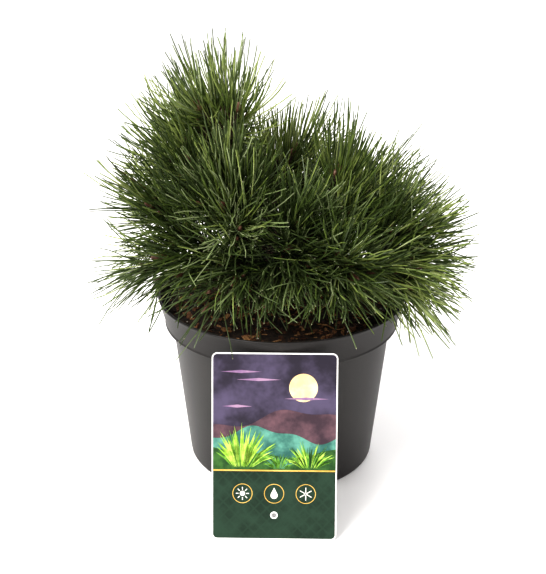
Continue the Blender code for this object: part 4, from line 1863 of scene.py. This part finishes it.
    def needle_piece(self, draw: random.Random) -> Object:
        """Needles that have fallen on the soil.

        Args:
            draw: The source of chance.

        Returns:
            The new object.
        """
        foliage, count = self.foliage, self.fallen
        rng = np.random.default_rng(self.FALLEN_SEED)
        spots = [self.scatter(draw) * self.fallen_spread for _ in range(count)]
        lift = self.fallen_lift
        foot = np.array([(spot.x, spot.y, self.surface(spot.x, spot.y) + lift) for spot in spots])
        turn = rng.uniform(0, 2 * math.pi, count)
        start = np.stack([np.cos(turn), np.sin(turn), rng.uniform(*self.fallen_rise, count)], axis=1)
        across = np.stack([-np.sin(turn), np.cos(turn), np.zeros(count)], axis=1)
        end = start + across * self.fallen_bend
        length = rng.uniform(*self.fallen_lengths, count) * MM
        outward = np.repeat([[0.0, 0.0, 1.0]], count, axis=0)
        olive, young = foliage.SUNLIT + 3, foliage.SUNLIT + 4
        tones = rng.choice([olive, young, foliage.DRY, foliage.DRY], count)
        builder = Builder()
        dropped = Needles(foot, start, end, np.zeros_like(start), outward, length, tones)
        foliage.blades(dropped, rng, builder)
        return builder.piece("fallen_needles", foliage.materials())

    def build(self) -> None:
        """Builds the soil and everything that lies on it."""
        noise.seed_set(self.SURFACE_SEED)
        draw = random.Random(self.STREWN_SEED)
        settle(self.body(), Slot.SOIL, "root_ball")
        settle(self.chip_piece(draw), Slot.SOIL)
        settle(self.grain_piece(draw), Slot.SOIL)
        settle(self.needle_piece(draw), Slot.NEEDLES)


@dataclass
class CareCard:
    """The printed card that leans on the collar. Its picture is a plain dusk landscape.

    ink gathers the printed shapes, which lie in layers, so that none is in the plane of another.
    Places on the card are across from its middle and up from its foot.
    """

    ink: BMesh = field(default_factory=bmesh.new)
    width: float = 79 * MM
    length: float = 120 * MM
    thickness: float = 0.6 * MM
    corner: float = 3.5 * MM
    hole_radius: float = 1.7 * MM
    hole_rise: float = 16 * MM
    offset: float = -5.3 * MM
    foot_reach: float = 119 * MM
    seat_radius: float = 83.35 * MM
    turn: float = math.radians(-1.2)
    border: float = 0.9 * MM
    band_top: float = 45 * MM
    band_line: float = 0.5 * MM
    eyelet: float = 0.7 * MM
    signs_rise: float = 30 * MM
    signs_apart: float = 20 * MM
    sign_ring: Pair = (6.4 * MM, 5.9 * MM)
    sign_reach: float = 4.2 * MM
    bar: float = 0.3 * MM
    layer: float = 0.03 * MM
    sun: tuple = (18 * MM, 98 * MM, 9 * MM)
    blades: int = 70
    blade_spread: float = 1.15
    blade_lengths: Pair = (0.55, 1.0)
    blade_shortening: float = 0.25
    blade_width: float = 0.028
    blade_bend: float = 0.8
    grass_gap: float = 3 * MM
    tuft_foot: float = 0.22

    CLOUDS = ((108, -34, -8), (103, -24, 4), (91, 6, 34), (86, -33, -14))
    CLOUD_DROP = 0.9
    CLOUD_RISE = 1.1
    SIGN_LEVEL = 3
    CLOUD_LEVEL = 4
    GRASS_LEVEL = 12
    LINE_LEVEL = 16

    @property
    def matrix(self) -> Matrix:
        """Where the card's own frame lies.

        Returns:
            The frame, with X across, Y up the card and Z out of its face.
        """
        reach = self.foot_reach - self.seat_radius - CLEARANCE - self.thickness
        lean = math.acos(reach / self.length)
        spot = Matrix.Translation((self.offset, -self.foot_reach, self.thickness / 2 * math.cos(lean)))
        return spot @ Matrix.Rotation(self.turn, 4, "Z") @ Matrix.Rotation(lean, 4, "X")

    def rounded(
        self, half: float, low: float, high: float, corner: float, top: bool, foot: bool
    ) -> list[tuple]:
        """The outline of a rectangle with round corners.

        Args:
            half: Half its width.
            low: Where its foot lies on the card.
            high: Where its top lies.
            corner: The radius of its round corners.
            top: Whether its upper corners are round.
            foot: Whether its lower corners are round.

        Returns:
            The outline, anticlockwise.
        """
        points = []
        for x, y, first, is_round in (
            (half, low, -90, foot), (half, high, 0, top), (-half, high, 90, top), (-half, low, 180, foot),
        ):
            if not is_round:
                points.append((x, y))
                continue
            centre = x - math.copysign(corner, x), y + corner if y == low else y - corner
            points += arc(*centre, corner, first, first + 90, 6)
        return points

    def plate(self, outline: Sequence[tuple], level: int, slot: int) -> None:
        """Adds one flat printed shape.

        Args:
            outline: Its corners on the card, anticlockwise.
            level: How many layers it lies above the card.
            slot: Its material number.
        """
        height = self.thickness / 2 + self.layer * level
        corners = [self.ink.verts.new((x, y, height)) for x, y in outline]
        self.ink.faces.new(corners).material_index = slot

    def circle(self, x: float, y: float, radius: float, sides: int = 36) -> list[tuple]:
        """The outline of a disc with its centre at x and y, anticlockwise."""
        return arc(x, y, radius, 0, 360, sides)[:-1]

    def hill(self, base: float, height: float, waves: float, phase: float) -> list[tuple]:
        """The outline of a hill across the picture, with its foot on the band.

        Args:
            base: The mean height of its ridge.
            height: How far the ridge rises and falls.
            waves: How many waves it has, in radians for half the width.
            phase: Where the waves begin, in radians.

        Returns:
            The outline, anticlockwise.
        """
        half = self.width / 2 - self.border
        steps = 40
        points = [(-half, self.band_top), (half, self.band_top)]
        for i in range(steps + 1):
            x = half - 2 * half * i / steps
            wave = math.sin(waves * x / half + phase) + 0.35 * math.sin(2.7 * waves * x / half + phase * 2)
            points.append((x, base + height * wave))
        return points

    def tuft(self, x: float, y: float, size: float, slots: tuple, seed: int) -> None:
        """Adds a tuft of grass: tapering blades that fan out from one foot.

        Args:
            x: Its foot's place across the card.
            y: Its foot's place up the card.
            size: How tall it is.
            slots: The material numbers of its blades.
            seed: Chance's seed.
        """
        draw = random.Random(seed)
        half = self.width / 2 - self.border
        for number in range(self.blades):
            lean = draw.uniform(-self.blade_spread, self.blade_spread)
            long = size * draw.uniform(*self.blade_lengths) * (1 - self.blade_shortening * abs(lean))
            foot = x + lean * size * self.tuft_foot
            tip_x, tip_y = foot + math.sin(lean) * long, y + math.cos(lean) * long
            wide, deep = math.cos(lean) * size * self.blade_width, math.sin(lean) * size * self.blade_width
            bent = lean * self.blade_bend
            mid_x, mid_y = foot + math.sin(bent) * long * 0.5, y + math.cos(bent) * long * 0.5
            right, left = (mid_x + wide, mid_y - deep), (mid_x - wide, mid_y + deep)
            outline = [(foot, y), right, (tip_x, tip_y), left]
            if max(abs(px) for px, _ in outline) < half and tip_y < self.length - self.grass_gap:
                self.plate(outline, self.GRASS_LEVEL + number % 2, slots[number % len(slots)])

    def sheet(self) -> Object:
        """The white card with its round hole.

        Returns:
            The new object.
        """
        curve = bpy.data.curves.new("care_card_sheet", "CURVE")
        curve.dimensions = "2D"
        curve.fill_mode = "BOTH"
        curve.extrude = self.thickness / 2
        outline = self.rounded(self.width / 2, 0, self.length, self.corner, True, True)
        for points in (outline, self.circle(0, self.hole_rise, self.hole_radius, 28)):
            spline = curve.splines.new("POLY")
            spline.points.add(len(points) - 1)
            spline.use_cyclic_u = True
            for spot, (x, y) in zip(spline.points, points):
                spot.co = (x, y, 0, 1)
        mesh = curve_mesh(curve)
        shape = bmesh.new()
        shape.from_mesh(mesh)
        bmesh.ops.remove_doubles(shape, verts=shape.verts, dist=0.01 * MM)
        shape.to_mesh(mesh)
        shape.free()
        mesh.transform(self.matrix)
        stock = PrintFinish("card_stock", (0.80, 0.79, 0.76), (0.88, 0.87, 0.85), 30 * MM)
        return place("care_card_sheet", mesh, [stock.build()])

    def ring(self, x: float, y: float, outer: float, inner: float) -> list[list[tuple]]:
        """A flat ring in four pieces.

        Args:
            x: Its centre's place across the card.
            y: Its centre's place up the card.
            outer: Its outer radius.
            inner: Its inner radius.

        Returns:
            The outlines of its quarters, anticlockwise.
        """
        starts = (0, 90, 180, 270)
        return [arc(x, y, outer, at, at + 90, 8) + arc(x, y, inner, at + 90, at, 8) for at in starts]

    def print_piece(self) -> Object:
        """The printed picture and band, as flat shapes just above the card.

        Returns:
            The new object.
        """
        half = self.width / 2 - self.border
        top = self.length - self.border
        soft = self.corner - self.border
        sky, dusk, sun, plum, teal, lime, leaf, moss, band, gold, cream = range(11)
        self.plate(self.rounded(half, self.band_top, top, soft, True, False), 1, sky)
        self.plate(self.circle(*self.sun), self.SIGN_LEVEL, sun)
        for number, (y, left, right) in enumerate(self.CLOUDS):
            middle = (left + right) / 2
            corners = ((left, y), (middle, y - self.CLOUD_DROP), (right, y), (middle, y + self.CLOUD_RISE))
            outline = [(across * MM, up * MM) for across, up in corners]
            self.plate(outline, self.CLOUD_LEVEL + number % 2, dusk)
        self.plate(self.hill(78 * MM, 5.5 * MM, 2.3, 0.6), 6, plum)
        self.plate(self.hill(68 * MM, 4.5 * MM, 3.1, 2.4), 8, teal)
        self.plate(self.hill(57 * MM, 3 * MM, 2.2, 4.4), 10, moss)
        self.tuft(-21 * MM, 47 * MM, 29 * MM, (lime, leaf, lime), 3)
        self.tuft(22 * MM, 46.5 * MM, 20 * MM, (leaf, lime, moss), 4)
        self.tuft(3 * MM, 46 * MM, 12 * MM, (teal, leaf), 5)
        self.lower_band(half, soft, band, gold, cream)
        finishes = (
            PrintFinish("ink_sky", (0.028, 0.023, 0.036), (0.095, 0.078, 0.130), 26 * MM),
            PrintFinish("ink_dusk", (0.22, 0.13, 0.24), (0.36, 0.24, 0.34)),
            PrintFinish("ink_sun", (0.75, 0.50, 0.26), (0.82, 0.66, 0.42)),
            PrintFinish("ink_plum", (0.055, 0.034, 0.045), (0.15, 0.085, 0.10)),
            PrintFinish("ink_teal", (0.035, 0.12, 0.10), (0.14, 0.34, 0.27)),
            PrintFinish("ink_lime", (0.26, 0.46, 0.05), (0.52, 0.72, 0.15), 5 * MM),
            PrintFinish("ink_leaf", (0.085, 0.22, 0.028), (0.20, 0.40, 0.06), 5 * MM),
            PrintFinish("ink_moss", (0.020, 0.065, 0.018), (0.055, 0.14, 0.034), 6 * MM),
            PrintFinish("ink_band", (0.013, 0.031, 0.018), (0.025, 0.055, 0.034), 18 * MM, 1.25 * MM),
            PrintFinish("ink_gold", (0.52, 0.33, 0.075), (0.66, 0.46, 0.14)),
            PrintFinish("ink_cream", (0.74, 0.72, 0.64), (0.82, 0.80, 0.74)),
        )
        piece = moulded("care_card_print", self.ink, [finish.build() for finish in finishes], smooth=False)
        piece.data.transform(self.matrix)
        return piece

    def lower_band(self, half: float, soft: float, band: int, gold: int, cream: int) -> None:
        """Adds the dark band with a gold line and three plain care signs: sun, water and frost.

        Args:
            half: Half the printed width.
            soft: The radius of the band's lower corners.
            band: The band's material number.
            gold: The gold ink's material number.
            cream: The cream ink's material number.
        """
        outline = self.rounded(half, self.border, self.band_top, soft, False, True)
        eyelet = self.hole_radius + self.eyelet
        for hand in (-1, 1):
            notch = arc(0, self.hole_rise, eyelet, -90 * hand, 90 * hand, 14)
            outer = [(x, y) for x, y in outline if x * hand > 0]
            seam = [(0.0, self.band_top), (0.0, self.border)]
            if hand > 0:
                corners = [seam[1], *outer, seam[0], *reversed(notch)]
            else:
                corners = [seam[0], *outer, seam[1], *[(-abs(x), y) for x, y in reversed(notch)]]
            self.plate(corners, 1, band)
        low, high = self.band_top - self.band_line, self.band_top + self.band_line
        line = [(-half, low), (half, low), (half, high), (-half, high)]
        self.plate(line, self.LINE_LEVEL, gold)
        for step, sign in ((-1, self.sun_sign), (0, self.water_sign), (1, self.frost_sign)):
            x = step * self.signs_apart
            for quarter in self.ring(x, self.signs_rise, *self.sign_ring):
                self.plate(quarter, self.SIGN_LEVEL, gold)
            sign(x, self.signs_rise, cream)

    def sun_sign(self, x: float, y: float, slot: int) -> None:
        """Adds a disc with eight rays, centred on x and y."""
        self.plate(self.circle(x, y, 1.7 * MM, 24), self.SIGN_LEVEL, slot)
        self.rays(x, y, 8, 2.4 * MM, self.sign_reach, slot)

    def frost_sign(self, x: float, y: float, slot: int) -> None:
        """Adds a star of six bars, centred on x and y."""
        self.rays(x, y, 6, 0.4 * MM, self.sign_reach, slot)

    def water_sign(self, x: float, y: float, slot: int) -> None:
        """Adds a drop with its point up, centred on x and y."""
        belly = arc(x, y - 1.1 * MM, 2.3 * MM, -210, 30, 20)
        self.plate([*belly, (x, y + 4.0 * MM)], self.SIGN_LEVEL, slot)

    def rays(self, x: float, y: float, count: int, near: float, far: float, slot: int) -> None:
        """Adds bars that point away from a centre.

        Args:
            x: The centre's place across the card.
            y: The centre's place up the card.
            count: How many bars there are.
            near: How far from the centre they begin.
            far: How far from the centre they end.
            slot: Their material number.
        """
        for number in range(count):
            turn = 2 * math.pi * number / count + math.pi / 2
            ray = Vector((math.cos(turn), math.sin(turn)))
            side = Vector((-ray.y, ray.x)) * self.bar
            centre = Vector((x, y))
            corners = [centre + ray * near - side, centre + ray * far - side]
            corners += [centre + ray * far + side, centre + ray * near + side]
            self.plate([corner[:] for corner in corners], self.SIGN_LEVEL, slot)

    def build(self) -> None:
        """Builds the card and its print."""
        settle(self.sheet(), Slot.CARD, "care_card")
        settle(self.print_piece(), Slot.CARD)


@dataclass
class Studio:
    """The pale floor, the soft lights and the camera.

    The camera looks at target, and the lights face aim. wall and ceiling are how bright the world is
    at the horizon and overhead. Each light has its name, place, width, power and colour.
    """

    target: tuple = (-0.0058, 0.0, 0.1239)
    distance: float = 0.770
    elevation: float = math.radians(22.9)
    lens: float = 70.0
    aim: tuple = (0, 0, 0.13)
    wall: float = 1.02
    ceiling: float = 0.62
    floor_radius: float = 1.6

    LIGHTS = (
        ("key", (-0.75, -0.60, 1.20), 0.8, 23.0, (1.0, 0.985, 0.96)),
        ("fill", (1.0, -0.7, 0.8), 0.9, 4.0, (1.0, 0.985, 0.975)),
        ("back", (0.3, 1.1, 1.0), 0.9, 7.0, (1.0, 1.0, 1.0)),
    )

    def camera(self) -> None:
        """Sets the camera at the photograph's angle."""
        data = bpy.data.cameras.new("camera")
        data.lens = self.lens
        data.sensor_width = 36.0
        data.clip_start = 0.01
        camera = bpy.data.objects.new("camera", data)
        bpy.context.scene.collection.objects.link(camera)
        away = Vector((0, -math.cos(self.elevation), math.sin(self.elevation)))
        camera.location = Vector(self.target) + away * self.distance
        camera.rotation_euler = (math.pi / 2 - self.elevation, 0, 0)
        bpy.context.scene.camera = camera

    def floor(self) -> None:
        """Lays a wide pale floor."""
        recipe = Recipe("studio_floor")
        cloud = recipe.noise(0.4, 2.0)
        material = recipe.finish(recipe.mix(cloud, (0.93, 0.92, 0.92), (0.95, 0.945, 0.94)), 0.9)
        shape = bmesh.new()
        bmesh.ops.create_circle(shape, cap_ends=True, segments=96, radius=self.floor_radius)
        moulded("floor", shape, [material], smooth=False)

    def light(self, name: str, spot: tuple, size: float, power: float, colour: Colour) -> None:
        """Adds one square soft light that faces the plant.

        Args:
            name: Its name.
            spot: Where it stands.
            size: How wide it is in metres.
            power: Its power in watts.
            colour: Its colour.
        """
        data = bpy.data.lights.new(name, "AREA")
        data.size = size
        data.energy = power
        data.color = colour
        lamp = bpy.data.objects.new(name, data)
        bpy.context.scene.collection.objects.link(lamp)
        lamp.location = spot
        towards = Vector(self.aim) - Vector(spot)
        lamp.rotation_euler = towards.to_track_quat("-Z", "Y").to_euler()

    def build(self) -> None:
        """Sets up the stage."""
        self.camera()
        self.floor()
        self.surroundings()
        view = bpy.context.scene.view_settings
        view.view_transform = "Standard"
        view.look = "High Contrast"
        for light in self.LIGHTS:
            self.light(*light)

    def surroundings(self) -> None:
        """Makes the world: white walls that grow darker towards the ceiling."""
        world = bpy.data.worlds.new("studio")
        world.use_nodes = True
        tree = world.node_tree
        direction_of = tree.nodes.new("ShaderNodeTexCoord")
        parts = tree.nodes.new("ShaderNodeSeparateXYZ")
        ramp = tree.nodes.new("ShaderNodeMapRange")
        bounds = {"From Min": 0.1, "From Max": 0.6, "To Min": self.wall, "To Max": self.ceiling}
        for name, value in bounds.items():
            ramp.inputs[name].default_value = value
        tree.links.new(direction_of.outputs["Generated"], parts.inputs[0])
        tree.links.new(parts.outputs["Z"], ramp.inputs["Value"])
        tree.links.new(ramp.outputs[0], tree.nodes["Background"].inputs["Strength"])
        tree.nodes["Background"].inputs["Color"].default_value = (1.0, 0.985, 0.985, 1.0)
        bpy.context.scene.world = world


def main() -> None:
    """Builds every part of the scene."""
    logging.basicConfig(level=logging.INFO, format="%(message)s")
    Studio().build()
    skeleton = Skeleton()
    bark = BarkFinish(
        "trunk_bark", (0.028, 0.017, 0.012), (0.11, 0.072, 0.050), (0.24, 0.19, 0.15), 3.4 * MM, 0.5 * MM
    )
    Bark(skeleton, bark).build()
    card = CareCard()
    foliage = Foliage(skeleton, card)
    foliage.build()
    NurseryPot().build()
    PottingSoil(foliage).build()
    card.build()


if __name__ == "__main__":
    main()
